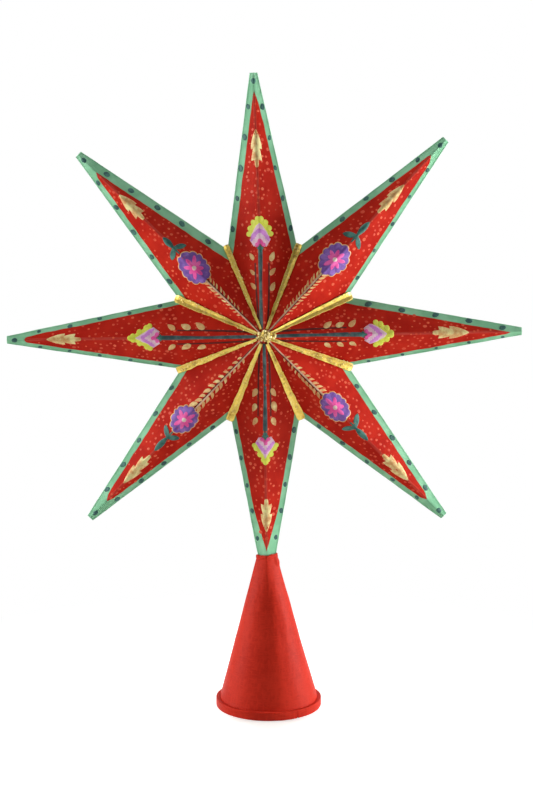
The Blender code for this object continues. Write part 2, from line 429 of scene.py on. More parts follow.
@dataclass(frozen=True)
class Finish:
    """A named finish, whose look its shader takes."""

    name: str

    def look(self, graph: Graph) -> Look:
        """The finish's own colour and surface."""
        raise NotImplementedError

    def build(self) -> bpy.types.Material:
        """The finish as a material.

        Returns:
            The material, with a Principled shader.
        """
        material = bpy.data.materials.new(self.name)
        material.use_nodes = True
        graph = Graph(material.node_tree)
        look = self.look(graph)
        relief = {"Strength": look.strength, "Distance": look.depth, "Height": look.relief}
        inputs = {
            "Base Color": look.colour,
            "Roughness": look.roughness,
            "Metallic": look.metallic,
            "Specular IOR Level": look.specular,
            "Normal": graph.take("ShaderNodeBump", relief),
        }
        shader = graph.take("ShaderNodeBsdfPrincipled", inputs)
        graph.node("ShaderNodeOutputMaterial", {"Surface": shader})
        return material


@dataclass(frozen=True)
class BoardFinish(Finish):
    """The boards' paint: a red ground inside a green border, with a thin satin varnish."""

    ground: Colour = (0.69, 0.029, 0.013)
    ground_deep: Colour = (0.58, 0.018, 0.009)
    border: Colour = (0.29, 0.68, 0.40)
    border_pale: Colour = (0.37, 0.78, 0.49)
    # The paler red that lies in a narrow band along the fold.
    rubbed: Colour = (0.80, 0.13, 0.10)
    rubbed_share: float = 0.6
    rubbed_reach: Flat = (0.0011, 0.0003)
    waver: float = 0.00022
    waver_scale: float = 110.0
    blur: float = 0.00013
    tip_round: float = 0.0012
    paint_edge: float = 0.0002
    contrast: float = 0.3
    roughness: float = 0.5
    specular: float = 0.04

    def look(self, graph: Graph) -> Look:
        """The two grounds with their brush strokes, paler along the fold.

        Args:
            graph: The material's graph.

        Returns:
            The look.
        """
        place = graph.take("ShaderNodeUVMap", uv_map="board")
        tone, strokes, cover = Brushwork.place(graph, {"Place": place, "Contrast": self.contrast})
        waver = 0.5 - graph.noise(place, self.waver_scale, 2.0)
        line = waver * (4 * self.waver) + graph.stored("border_gap")
        inside = graph.math("SMOOTH_MIN", line, graph.stored("tip_gap"), self.tip_round)
        mask = graph.ramp(inside, -self.blur, self.blur)
        red = graph.blend(graph.ramp(cover, 0.35, 0.68), self.ground_deep, self.ground)
        green = graph.blend(graph.ramp(cover, 0.40, 0.62), self.border, self.border_pale)
        stroked = graph.vector("SCALE", graph.blend(mask, green, red), tone)
        # A paler red along both sides of the fold, broken by the brush strokes.
        near_fold = graph.ramp(graph.stored("ridge_gap"), *self.rubbed_reach)
        rubbed = near_fold * graph.ramp(strokes, 0.35, 0.65, 0.4, 1.0) * mask
        colour = graph.blend(rubbed * self.rubbed_share, stroked, self.rubbed)
        roughness = strokes * 0.16 + (self.roughness - 0.08)
        relief = strokes * 0.4 + graph.ramp(inside, 0.0, -self.paint_edge) * 0.8 + cover * 0.5
        return Look(colour, roughness, relief, 0.5, 0.00012, specular=self.specular)


class Paint(Enum):
    """The decorative paints."""

    GOLD = "gold_leaf_paint"
    ROSE_GOLD = "rose_gold"
    TEAL = "teal_stem_paint"
    SPRIG_TEAL = "teal_sprig_paint"
    DOT_TEAL = "teal_dot_paint"
    MAROON = "maroon_paint"
    LIME = "yellow_green_paint"
    PALE_PINK = "pale_pink_paint"
    ORCHID = "orchid_paint"
    HOT_PINK = "hot_pink_paint"
    PURPLE = "purple_paint"
    CREAM = "cream_paint"
    ORANGE_RED = "orange_red_dot_paint"


@dataclass(frozen=True)
class PaintFinish(Finish):
    """One colour of raised decorative paint."""

    paint: Paint
    colour: Colour
    shade: Colour
    glint: Colour = (0.98, 0.86, 0.50)
    strokes_per_metre: float = 800.0
    cover_scale: float = 260.0
    flakes_per_metre: float = 2600.0
    roughness: float = 0.45
    specular: float = 0.2
    metallic: float = 0.0
    flake: float = 0.0
    contrast: float = 0.5
    tone_by: str = ""

    def look(self, graph: Graph) -> Look:
        """The colour with its darker shade and, in the golds, its flakes.

        Args:
            graph: The material's graph.

        Returns:
            The look.
        """
        place = graph.place()
        given = {
            "Place": place,
            "Per Metre": (self.strokes_per_metre,) * 3,
            "Cover Scale": self.cover_scale,
            "Contrast": self.contrast,
        }
        tone, relief, cover = Brushwork.place(graph, given)
        share = graph.ramp(cover, 0.36, 0.66)
        if self.tone_by:
            share = share * graph.stored(self.tone_by)
        colour = graph.blend(share, self.shade, self.colour)
        if self.flake > 0:
            flake, bright = GiltFlakes.place(graph, {"Place": place, "Per Metre": self.flakes_per_metre})
            colour = graph.blend(bright * self.flake, colour, self.glint)
            relief = relief + flake
        roughness = cover * 0.2 + (self.roughness - 0.1)
        stroked = graph.vector("SCALE", colour, tone)
        return Look(stroked, roughness, relief, 0.45, 0.00008, self.metallic, self.specular)


def paint(kind: Paint, colour: Colour, shade: Colour, **looks: Any) -> PaintFinish:
    """One decorative paint, named after its kind."""
    return PaintFinish(kind.value, kind, colour, shade, **looks)


PAINTS: tuple[PaintFinish, ...] = (
    paint(Paint.GOLD, (0.99, 0.88, 0.40), (0.80, 0.40, 0.14), metallic=0.05, flake=0.3, tone_by="tone"),
    paint(Paint.ROSE_GOLD, (0.80, 0.50, 0.36), (0.56, 0.30, 0.19), metallic=0.3, flake=0.4),
    paint(Paint.TEAL, (0.105, 0.17, 0.175), (0.045, 0.085, 0.09)),
    paint(Paint.SPRIG_TEAL, (0.095, 0.28, 0.23), (0.035, 0.12, 0.105)),
    paint(Paint.DOT_TEAL, (0.085, 0.24, 0.20), (0.045, 0.13, 0.12)),
    paint(Paint.MAROON, (0.13, 0.014, 0.010), (0.08, 0.007, 0.005)),
    paint(Paint.LIME, (0.97, 0.99, 0.15), (0.86, 0.92, 0.09), tone_by="tone"),
    paint(Paint.PALE_PINK, (0.98, 0.72, 0.84), (0.92, 0.60, 0.74)),
    paint(Paint.ORCHID, (0.88, 0.36, 0.90), (0.72, 0.25, 0.76), tone_by="tone"),
    paint(Paint.HOT_PINK, (1.0, 0.18, 0.55), (0.94, 0.09, 0.40)),
    paint(Paint.PURPLE, (0.38, 0.20, 0.66), (0.19, 0.085, 0.40), tone_by="tone"),
    paint(Paint.CREAM, (0.93, 0.80, 0.72), (0.88, 0.62, 0.58)),
    paint(Paint.ORANGE_RED, (0.97, 0.20, 0.085), (0.80, 0.075, 0.036), tone_by="tone"),
)


@dataclass(frozen=True)
class GiltFinish(Finish):
    """Gilt paper and paste: crinkled and flaked, with a painted dark olive shade in its creases and a painted
    pale highlight on its crests.
    """

    colour: Colour = (0.76, 0.56, 0.10)
    # pale is the painted highlight on the crests and ribbon edges; the crease colour below is the painted shade
    # in the low places.
    pale: Colour = (0.95, 0.82, 0.40)
    crease: Colour = (0.34, 0.20, 0.03)
    glint: Colour = (1.0, 0.88, 0.52)
    glint_share: float = 0.25
    metallic: float = 0.75
    roughness: float = 0.40
    flakes_per_metre: float = 1700.0
    wrinkles_per_metre: float = 380.0

    def look(self, graph: Graph) -> Look:
        """Gold with a painted shade in its creases and a painted highlight on its crests.

        Args:
            graph: The material's graph.

        Returns:
            The look.
        """
        place = graph.place()
        flake, bright = GiltFlakes.place(graph, {"Place": place, "Per Metre": self.flakes_per_metre})
        wrinkle = graph.noise(place, self.wrinkles_per_metre, 3.0, Distortion=0.8)
        # The crest number paints shade and light: the crease colour where it is low, the pale highlight colour
        # where it is high.
        crest = graph.stored("raised") + (wrinkle - 0.5) * 0.9
        gold = graph.blend(graph.ramp(crest, 0.0, 0.45), self.crease, self.colour)
        with_painted_highlight = graph.blend(graph.ramp(crest, 0.6, 1.1), gold, self.pale)
        glittered = graph.blend(bright * self.glint_share, with_painted_highlight, self.glint)
        roughness = flake * 0.22 + (self.roughness - 0.1)
        return Look(glittered, roughness, wrinkle + flake * 0.15, 0.6, 0.00018, self.metallic)


@dataclass(frozen=True)
class ConePaperFinish(Finish):
    """The cone's and rim's red paper: satin paint in which the fibre shows."""

    colour: Colour = (0.69, 0.036, 0.017)
    deep: Colour = (0.56, 0.024, 0.011)
    roughness: float = 0.50
    specular: float = 0.07

    def look(self, graph: Graph) -> Look:
        """Red that is deeper where the fibre lies thin.

        Args:
            graph: The material's graph.

        Returns:
            The look.
        """
        strands, mottle = PaperFibre.place(graph, {"Place": graph.place()})
        share = graph.ramp(strands * 0.6 + mottle * 0.5, 0.42, 0.68)
        roughness = mottle * 0.2 + (self.roughness - 0.1)
        colour = graph.blend(share, self.deep, self.colour)
        return Look(colour, roughness, strands, 0.35, 0.0002, specular=self.specular)


# Geometry Nodes that several pieces use

class Procedure:
    """A Geometry Nodes tree, run on an object to give it a plain mesh.

    Each kind has a title, and names its inputs with their defaults, or with a socket type where there is
    no default.
    """

    title = ""
    inputs: dict[str, Any] = {}
    made: dict[tuple[str, int], "Procedure"] = {}

    def __init__(self, paints: int) -> None:
        """Makes the tree.

        Args:
            paints: How many materials it sets, by the faces' "paint" number where there are several.
        """
        self.tree = bpy.data.node_groups.new(self.title, "GeometryNodeTree")
        for way in ("INPUT", "OUTPUT"):
            self.tree.interface.new_socket(name="Geometry", in_out=way, socket_type="NodeSocketGeometry")
        materials = {f"Paint {number + 1}": "NodeSocketMaterial" for number in range(paints)}
        for label, value in (self.inputs | materials).items():
            add_input(self.tree, label, value)
        self.graph = Graph(self.tree)
        self.entry = self.graph.node("NodeGroupInput")
        self.close(self.fill(), paints)

    def fill(self) -> Term:
        """Builds the inside and gives the geometry that it makes."""
        raise NotImplementedError

    def given(self, label: str) -> Term:
        """One of the tree's inputs."""
        return self.graph.out(self.entry, label)

    def attribute(self, label: str) -> Term:
        """A number that the mesh's points store."""
        return self.graph.take("GeometryNodeInputNamedAttribute", {"Name": label}, data_type="FLOAT")

    def random(self, low: Any, high: Any, seed: int, kind: str = "FLOAT") -> Term:
        """A random number or vector for each element; the seed is added to the tree's own."""
        inputs = {"Min": low, "Max": high, "Seed": self.given("Seed") + seed}
        return self.graph.take("FunctionNodeRandomValue", inputs, data_type=kind)

    def scatter(self, share: Term) -> tuple[Term, Term]:
        """Poisson points over the object's own mesh.

        Args:
            share: How densely each place is covered, from 0 to 1.

        Returns:
            The points, and the turn that lays a shape flat on the surface at each.
        """
        inputs = {
            "Mesh": self.given("Geometry"),
            "Distance Min": self.given("Least Gap"),
            "Density Max": self.given("Per Area"),
            "Density Factor": share,
            "Seed": self.given("Seed"),
        }
        spread = self.graph.node("GeometryNodeDistributePointsOnFaces", inputs, distribute_method="POISSON")
        return self.graph.out(spread, "Points"), self.graph.out(spread, "Rotation")

    def radius(self, share: Term) -> Term:
        """A size at a share of the way from the smallest to the largest."""
        return share * (self.given("Largest") - self.given("Smallest")) + self.given("Smallest")

    def repeat(self, placing: dict[str, Term], name: str = "tone", low: float = 0.0, high: float = 1.0) -> Term:
        """Sets a shape on every point, each with a random number of its own.

        Args:
            placing: The points, the shape as Instance, and its Rotation and Scale.
            name: The stored number's name.
            low: The number's least value.
            high: Its greatest value.

        Returns:
            The instances.
        """
        inputs = {
            "Geometry": self.graph.take("GeometryNodeInstanceOnPoints", placing),
            "Name": name,
            "Value": self.random(low, high, 4),
        }
        return self.graph.take("GeometryNodeStoreNamedAttribute", inputs, data_type="FLOAT", domain="INSTANCE")

    def lay(self, geometry: Term) -> Term:
        """Drops a flat drawing onto the board, each point at its own small lift.

        Args:
            geometry: The drawing, floating in front of the board.

        Returns:
            The drawing laid on the board.
        """
        graph, out = self.graph, self.given("Out")
        board = graph.take("GeometryNodeObjectInfo", {"Object": self.given("Board")}, "Geometry")
        inward = graph.vector("MULTIPLY", out, (-1.0, -1.0, -1.0))
        inputs = {"Target Geometry": board, "Ray Direction": inward, "Ray Length": 4 * Sketch.float_height}
        ray = graph.node("GeometryNodeRaycast", inputs)
        sunk = graph.vector("SCALE", inward, Sketch.float_height)
        low = graph.vector("ADD", graph.take("GeometryNodeInputPosition"), sunk)
        inputs = {"Geometry": board, "Sample Position": low}
        near = graph.take("GeometryNodeProximity", inputs, target_element="FACES")
        inputs = {"Switch": graph.out(ray, "Is Hit"), "False": near, "True": graph.out(ray, "Hit Position")}
        found = graph.take("GeometryNodeSwitch", inputs, input_type="VECTOR")
        place = graph.vector("ADD", found, graph.vector("SCALE", out, self.attribute("lift")))
        return graph.take("GeometryNodeSetPosition", {"Geometry": geometry, "Position": place})

    def close(self, geometry: Term, paints: int) -> None:
        """Ends the tree: instances are made real and the materials are set.

        Args:
            geometry: What the tree has made.
            paints: How many materials it sets.
        """
        graph = self.graph
        made = graph.take("GeometryNodeRealizeInstances", {"Geometry": geometry})
        for number in range(paints):
            inputs = {"Geometry": made, "Material": self.given(f"Paint {number + 1}")}
            if paints > 1:
                own = graph.take("GeometryNodeInputNamedAttribute", {"Name": "paint"}, data_type="INT")
                inputs["Selection"] = graph.take(
                    "FunctionNodeCompare", {"A": own, "B": number}, "Result", data_type="INT", operation="EQUAL"
                )
            made = graph.take("GeometryNodeSetMaterial", inputs)
        graph.node("NodeGroupOutput", {"Geometry": made})

    @classmethod
    def run(cls, obj: bpy.types.Object, paints: Sequence[bpy.types.Material], **values: Any) -> None:
        """Runs the tree on an object and keeps the result as its mesh.

        Args:
            obj: The object, whose mesh the tree takes in.
            paints: The materials, in the order of the faces' paint numbers.
            values: The other inputs, by their names in small letters with _ for a space.
        """
        key = cls.title, len(paints)
        if key not in cls.made:
            cls.made[key] = cls(len(paints))
        tree = cls.made[key].tree
        values |= {f"paint_{number + 1}": material for number, material in enumerate(paints)}
        modifier = obj.modifiers.new(tree.name, "NODES")
        modifier.node_group = tree
        for item in tree.interface.items_tree:
            name = item.name.lower().replace(" ", "_")
            if item.in_out == "INPUT" and name in values:
                modifier[item.identifier] = values[name]
        graph = bpy.context.evaluated_depsgraph_get()
        shaped = obj.evaluated_get(graph)
        mesh = bpy.data.meshes.new_from_object(shaped, preserve_all_data_layers=True, depsgraph=graph)
        obj.modifiers.remove(modifier)
        before, obj.data = obj.data, mesh
        bpy.data.meshes.remove(before)
        mesh.name = obj.name


class Drawing(Procedure):
    """Lays a whole drawing on a board."""

    title = "Lay drawing"
    inputs = {"Board": "NodeSocketObject", "Out": (0.0, -1.0, 0.0)}

    def fill(self) -> Term:
        """The drawing is the object's own mesh."""
        return self.lay(self.given("Geometry"))


class StrokeRow(Procedure):
    """Repeats one brush stroke in a row on a board, each time a little different."""

    title = "Row of strokes"
    inputs = Drawing.inputs | {
        "Stroke": "NodeSocketObject", "Count": 6, "Start": (0.0, 0.0, 0.0), "Step": (0.0, 0.0, 0.0),
        "First Scale": 1.0, "Last Scale": 1.0, "Jitter": 0.0, "Turn": 0.0, "Seed": 1,
    }

    def fill(self) -> Term:
        """Instances of the stroke along a line, made real and dropped onto the board.

        Returns:
            The row.
        """
        graph, given = self.graph, self.given
        inputs = {"Count": given("Count"), "Start Location": given("Start"), "Offset": given("Step")}
        line = graph.take("GeometryNodeMeshLine", inputs, mode="OFFSET")
        stray = self.random((-1.0, -1.0, -1.0), (1.0, 1.0, 1.0), 1, "FLOAT_VECTOR")
        moved = graph.vector("SCALE", stray, given("Jitter"))
        last = graph.math("MAXIMUM", given("Count") - 1.0, 1.0)
        share = graph.take("GeometryNodeInputIndex") / last
        size = (given("Last Scale") - given("First Scale")) * share + given("First Scale")
        turn = {"Axis": given("Out"), "Angle": self.random(-1.0, 1.0, 3) * given("Turn")}
        placed = self.repeat({
            "Points": graph.take("GeometryNodeSetPosition", {"Geometry": line, "Offset": moved}),
            "Instance": graph.take("GeometryNodeObjectInfo", {"Object": given("Stroke")}, "Geometry"),
            "Rotation": graph.take("FunctionNodeAxisAngleToRotation", turn),
            "Scale": size * self.random(0.86, 1.14, 2),
        })
        return self.lay(graph.take("GeometryNodeRealizeInstances", {"Geometry": placed}))


class GroundDots(Procedure):
    """Scatters small flat dots of paint over a board's red ground."""

    title = "Ground dots"
    inputs = {
        "Out": (0.0, -1.0, 0.0), "Margin": 0.0006, "Least Gap": 0.0020, "Per Area": 130000.0,
        "Smallest": 0.00038, "Largest": 0.00098, "Height": 0.00005, "Seed": 1,
    }

    def fill(self) -> Term:
        """Poisson points inside the border, and a low dome on each.

        Returns:
            The dots.
        """
        graph, given = self.graph, self.given
        clear = graph.math("MINIMUM", self.attribute("border_gap"), self.attribute("tip_gap"))
        inside = graph.math("GREATER_THAN", clear, given("Margin"))
        normal = graph.take("GeometryNodeInputNormal")
        outward = graph.vector("DOT_PRODUCT", normal, given("Out"), out="Value")
        points, turn = self.scatter(inside * graph.math("GREATER_THAN", outward, 0.5))
        radius = self.radius(self.random(0.0, 1.0, 1) * self.random(0.5, 1.0, 2))
        return self.repeat({
            "Points": points,
            "Instance": graph.take("GeometryNodeMeshUVSphere", {"Segments": 12, "Rings": 4, "Radius": 1.0}),
            "Rotation": turn,
            "Scale": graph.combined(radius * self.random(0.9, 1.35, 3), radius, given("Height")),
        })


class GiltGrains(Procedure):
    """Scatters bright crumbs of gilt over a piece where its "glitter" number is above nothing."""

    title = "Gilt grains"
    inputs = {"Least Gap": 0.0005, "Per Area": 1e6, "Smallest": 0.0002, "Largest": 0.0005, "Seed": 1}

    def fill(self) -> Term:
        """Poisson points, and a small turned crumb on each.

        Returns:
            The crumbs.
        """
        graph = self.graph
        points, _ = self.scatter(self.attribute("glitter"))
        radius = self.radius(self.random(0.0, 1.0, 1) ** 2.0)
        long, flat = radius * self.random(0.8, 1.5, 3), radius * self.random(0.45, 0.9, 2)
        placing = {
            "Points": points,
            "Instance": graph.take("GeometryNodeMeshUVSphere", {"Segments": 8, "Rings": 5, "Radius": 1.0}),
            "Rotation": self.random((0.0, 0.0, 0.0), (6.283, 6.283, 6.283), 5, "FLOAT_VECTOR"),
            "Scale": graph.combined(long, radius, flat),
        }
        # Each crumb gets a random raised number, so the gilt paints many crumbs with its pale painted
        # highlight.
        return self.repeat(placing, "raised", 0.5, 1.6)


class RolledCone(Procedure):
    """Rolls the cone's paper: round at the foot, pinched at the mouth, with its two sides and its edges."""

    title = "Rolled cone"
    formed = (
        "Mouth Height", "Mouth X", "Mouth Half Width", "Mouth Half Depth", "Mouth Wall",
        "Foot Half Width", "Foot Half Depth", "Foot Wall", "Foot Gap", "Collar", "Pinch",
    )
    inputs = dict.fromkeys(formed, "NodeSocketFloat") | {
        "Crowding": 1.35, "Edge Share": 0.006, "Dent": 0.0009, "Lap": 0.0002, "Lap Angle": 4.75,
        "Bump": 0.0007, "Bump At": (6.15, 11.6, 0.0), "Lip": 0.00014, "Ragged": 0.0012, "Slant": 0.0004,
        "Sides": 200, "Levels": 241,
    }

    def between(self, size: str, share: Term) -> Term:
        """A size that goes from its value at the mouth to its value at the foot."""
        mouth, foot = self.given(f"Mouth {size}"), self.given(f"Foot {size}")
        return (foot - mouth) * share + mouth

    def fill(self) -> Term:
        """A flat grid is rolled round, once outside upwards and once inside downwards.

        Returns:
            The cone.
        """
        graph, given = self.graph, self.given
        counts = {"Vertices X": given("Sides") + 1.0, "Vertices Y": given("Levels")}
        sheet = graph.take("GeometryNodeMeshGrid", {"Size X": 1.0, "Size Y": 1.0} | counts)
        flat = graph.node("ShaderNodeSeparateXYZ", {"Vector": graph.take("GeometryNodeInputPosition")})
        angle = graph.out(flat, "X") * FULL_TURN + 0.75 * FULL_TURN
        upright = graph.out(flat, "Y")
        up = 1.0 - graph.math("POWER", abs(upright) * 2.0, given("Crowding"), clamp=True)
        top, foot_gap, collar = given("Mouth Height"), given("Foot Gap"), given("Collar")
        height = up * (top - foot_gap) + foot_gap
        below = top - height
        fall = graph.math("MAXIMUM", below - collar, 0.0) / (top - collar)
        width, depth = self.between("Half Width", fall), self.between("Half Depth", fall)
        pinch = graph.ramp(below, 0.0, given("Pinch"), 1.2, 2.0)
        cosine, sine = graph.math("COSINE", angle), graph.math("SINE", angle)
        shrink = graph.math("DIVIDE", -1.0, pinch)
        reach = (abs(cosine / width) ** pinch + abs(sine / depth) ** pinch) ** shrink
        thinnest = width * depth / graph.math("SQRT", width * width + depth * depth)
        wall = self.between("Wall", below / top)
        grow = wall / (thinnest * graph.math("POWER", 2.0, shrink + 1.0))
        edge = given("Edge Share")
        side = graph.math("MAXIMUM", graph.math("MINIMUM", upright * -1.0 / edge, 1.0), -1.0)
        skin = side * graph.math("DIVIDE", 0.5 - abs(upright), edge, clamp=True) * 0.5 + 0.5
        around = graph.combined(cosine, sine, up * 2.2)
        swell = (graph.noise(around, 1.7, 3.0) - 0.5) * given("Dent")
        calm = graph.ramp(fall, 0.02, 0.3) * graph.ramp(fall, 1.0, 0.93)
        lap = graph.ramp(angle, given("Lap Angle"), given("Lap Angle") + 0.3) * graph.ramp(angle, 7.2, 5.4)
        spot = graph.combined(angle, height * 150.0, 0.0)
        off_bump = graph.vector("DISTANCE", spot, given("Bump At"), out="Value")
        relief = (lap * given("Lap") + swell) * calm
        relief = graph.ramp(off_bump, 0.5, 0.0) * given("Bump") + relief
        relief = graph.ramp(below, 0.0021, 0.0016) * given("Lip") + relief
        reach = (reach * grow + relief) * skin + reach
        ragged = cosine * given("Slant") + (graph.noise(around, 2.3, 2.0) - 0.5) * given("Ragged")
        x = reach * cosine + given("Mouth X") * (height / top)
        place = graph.combined(x, reach * sine, ragged * up**30.0 + height)
        rolled = graph.take("GeometryNodeSetPosition", {"Geometry": sheet, "Position": place})
        joined = graph.take("GeometryNodeMergeByDistance", {"Geometry": rolled, "Distance": 1e-6})
        return graph.take("GeometryNodeSetShadeSmooth", {"Geometry": joined, "Shade Smooth": True})


# The star's form, as the solids have it

@dataclass(frozen=True)
class Ray:
    """One hand-made ray: its name, how much longer it is, how far its end strays, and its green border.

    The border's widths are those of the anticlockwise side and of the other, as the front sees them, and
    then its width at the tip. The red ends the more in a point, the higher its point number is. The
    border's dots lie between two shares of the free edge, and most rays have one more at the tip.
    """

    name: str
    longer: float
    sway: float
    bands: Point
    point: float = 0.5
    dots: Flat = (0.12, 0.81)
    tip_dot: bool = True


@dataclass(frozen=True)
class StarForm:
    """The star's driving sizes and the places that follow from them."""

    height: float = 0.1974
    offset: float = -0.0024
    roll: float = math.radians(1.0)
    radius: float = 0.1325
    notch_radius: float = 0.0464
    rise: float = 0.0215
    tip_half_width: float = 0.0018
    rays: tuple[Ray, ...] = (
        Ray("right", 0.0002, -0.0014, (0.0031, 0.0018, 0.0052), 2.0, (0.12, 0.89), False),
        Ray("upper_right", 0.0023, 0.0020, (0.0029, 0.0021, 0.0108), 1.5),
        Ray("top", -0.0008, 0.0030, (0.0030, 0.0026, 0.0090), 3.0),
        Ray("upper_left", -0.0016, 0.0001, (0.0029, 0.0040, 0.0125), 1.5),
        Ray("left", 0.0000, 0.0013, (0.0020, 0.0022, 0.0092)),
        Ray("lower_left", 0.0003, 0.0020, (0.0028, 0.0028, 0.0130), 1.5),
        Ray("bottom", 0.0000, -0.0007, (0.0028, 0.0025, 0.0184), 3.4, (0.09, 0.72), False),
        Ray("lower_right", 0.0016, -0.0037, (0.0030, 0.0025, 0.0130), 1.5),
    )
    bottom: int = 6

    @property
    def step(self) -> float:
        """The angle between two rays."""
        return FULL_TURN / len(self.rays)

    @property
    def notch_along(self) -> float:
        """How far out along a ray its notch corners lie."""
        return self.notch_radius * math.cos(self.step / 2)

    @property
    def notch_across(self) -> float:
        """How far to a ray's side its notch corners lie."""
        return self.notch_radius * math.sin(self.step / 2)

    def reach(self, index: int) -> float:
        """A ray's length from the star's centre."""
        return self.radius + self.rays[index].longer

    def sway(self, index: int, face: Face) -> float:
        """How far a ray's end lies to the side, as one face sees it."""
        return face.value * self.rays[index].sway

    def band(self, index: int, side: int, face: Face) -> float:
        """How wide the green border is on one side of a ray, as one face sees it."""
        return self.rays[index].bands[0 if side * face.value > 0 else 1]

    def edge_along(self, index: int, share: float) -> float:
        """How far out a place on a ray's free edge lies, at a share of the way from notch to tip."""
        return self.notch_along + share * (self.reach(index) - self.notch_along)

    def edge_across(self, index: int, side: int, share: float, face: Face) -> float:
        """How far to the ray's side that place lies, as one face sees it."""
        notch = side * self.notch_across
        return notch + (self.sway(index, face) + side * self.tip_half_width - notch) * share

    def slopes(self, index: int, side: int, face: Face) -> Flat:
        """How a facet's height changes along and across its ray.

        Args:
            index: The ray.
            side: 1 for the anticlockwise facet as that face sees it, -1 for the other.
            face: The star's side.

        Returns:
            The slope along and the slope across.
        """
        reach, tip = self.reach(index), self.sway(index, face) + side * self.tip_half_width
        notch = side * self.notch_across
        spread = self.notch_along * tip - notch * reach
        return -self.rise * (tip - notch) / spread, -self.rise * (self.notch_along - reach) / spread

    def facet_height(self, index: int, side: int, along: float, across: float, face: Face) -> float:
        """A facet's height over the star's middle plane; side is 1 for the anticlockwise one."""
        slope_along, slope_across = self.slopes(index, side, face)
        return self.rise + slope_along * along + slope_across * across

    def matrix(self, angle: float, face: Face) -> Matrix:
        """Turns a ray's own X out along an angle, anticlockwise from the right, and its Z out of a face."""
        place = Matrix.Translation((self.offset, 0, self.height)) @ Matrix.Rotation(-self.roll, 4, "Y")
        return place @ Euler((face.value * math.pi / 2, -angle, 0)).to_matrix().to_4x4()


# Meshes

class Piece:
    """A finished piece: its object, its dressing and its place in the frame."""

    folder: bpy.types.Collection | None = None

    @classmethod
    def collection(cls) -> bpy.types.Collection:
        """The collection that holds the dressed pieces.

        Returns:
            The collection, which is made when it is first asked for.
        """
        if cls.folder is None:
            cls.folder = bpy.data.collections.new("dressed_topper")
            bpy.context.scene.collection.children.link(cls.folder)
        return cls.folder

    @classmethod
    def mesh(
        cls, name: str, verts: Sequence[Point], faces: Sequence[Sequence[int]], smooth: bool = True
    ) -> bpy.types.Object:
        """A mesh object from points and faces.

        Args:
            name: The object's name.
            verts: The points in the part's frame.
            faces: The points' numbers, face by face.
            smooth: Whether it is shaded smooth.

        Returns:
            The object.
        """
        mesh = bpy.data.meshes.new(name)
        mesh.from_pydata([tuple(v) for v in verts], [], [tuple(f) for f in faces])
        mesh.validate()
        if smooth:
            mesh.shade_smooth()
        obj = bpy.data.objects.new(name, mesh)
        cls.collection().objects.link(obj)
        return obj

    @staticmethod
    def turn_out(obj: bpy.types.Object, merge: float = 0.0) -> None:
        """Turns the faces of each closed part of a piece out.

        A part that holds less than nothing after the first guess is turned over.

        Args:
            obj: The piece.
            merge: How near two points are merged before, or nothing to keep them all.
        """
        bm = bmesh.new()
        bm.from_mesh(obj.data)
        if merge:
            bmesh.ops.remove_doubles(bm, verts=bm.verts, dist=merge)
            bmesh.ops.dissolve_degenerate(bm, edges=bm.edges, dist=merge / 10)
        bmesh.ops.recalc_face_normals(bm, faces=bm.faces)
        left = set(bm.faces)
        while left:
            part, front = set(), [left.pop()]
            while front:
                face = front.pop()
                part.add(face)
                near = {other for edge in face.edges for other in edge.link_faces} & left
                left -= near
                front += near
            held = sum(face.calc_center_median().dot(face.normal) * face.calc_area() for face in part)
            if held < 0:
                bmesh.ops.reverse_faces(bm, faces=list(part))
        bm.to_mesh(obj.data)
        bm.free()

    @staticmethod
    def attribute(obj: bpy.types.Object, name: str, values: Sequence[float]) -> None:
        """Stores one number at each point."""
        made = obj.data.attributes.new(name, "FLOAT", "POINT")
        made.data.foreach_set("value", np.asarray(values, np.float32))

    @staticmethod
    def uv(obj: bpy.types.Object, name: str, places: np.ndarray) -> None:
        """Stores a UV map from one place for each point.

        Args:
            obj: The mesh object.
            name: The map's name.
            places: One pair for each point.
        """
        loops = np.zeros(len(obj.data.loops), np.int32)
        obj.data.loops.foreach_get("vertex_index", loops)
        made = obj.data.uv_layers.new(name=name)
        made.data.foreach_set("uv", np.asarray(places, np.float32)[loops].ravel())

    @classmethod
    def finish(
        cls, obj: bpy.types.Object, slot: Slot, materials: Sequence[bpy.types.Material], *nodes: str
    ) -> None:
        """Dresses a piece and rides it on the body.

        Args:
            obj: The piece.
            slot: The record's slot that it takes its finish from; not used.
            materials: Its materials, where the mesh has none yet.
            nodes: The solids that it stands for.
        """
        for material in materials:
            obj.data.materials.append(material)
        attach(obj, BODY)
        if nodes:
            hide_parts(*nodes)
        LOG.info("%s: %d faces", obj.name, len(obj.data.polygons))


def grid_faces(
    rows: int, columns: int, start: int = 0, flip: bool = False, wraps: bool = False
) -> list[tuple[int, ...]]:
    """Quads of a grid whose points are numbered row by row.

    Args:
        rows: Points along.
        columns: Points across.
        start: The first point's number.
        flip: Whether the quads face the other way.
        wraps: Whether each row is a closed ring.

    Returns:
        The quads.
    """
    faces = []
    for i in range(rows - 1):
        for j in range(columns if wraps else columns - 1):
            a, b = (start + i * columns + k % columns for k in (j, j + 1))
            quad = (a, a + columns, b + columns, b)
            faces.append(quad[::-1] if flip else quad)
    return faces


def grid_edge(rows: int, columns: int, start: int = 0) -> list[int]:
    """The numbers of the points round a grid's edge, ending with the first once more.

    Args:
        rows: Points along.
        columns: Points across.
        start: The first point's number.

    Returns:
        The numbers.
    """
    edge = [start + j for j in range(columns)]
    edge += [start + (i + 1) * columns - 1 for i in range(1, rows)]
    edge += [start + rows * columns - 1 - j for j in range(1, columns)]
    return edge + [start + i * columns for i in range(rows - 2, -1, -1)]


def rim_faces(loop: Sequence[int], other: Sequence[int]) -> list[tuple[int, ...]]:
    """Quads between two runs of points of one length, given by their numbers."""
    return [(a, b, d, c) for a, b, c, d in zip(loop, loop[1:], other, other[1:])]


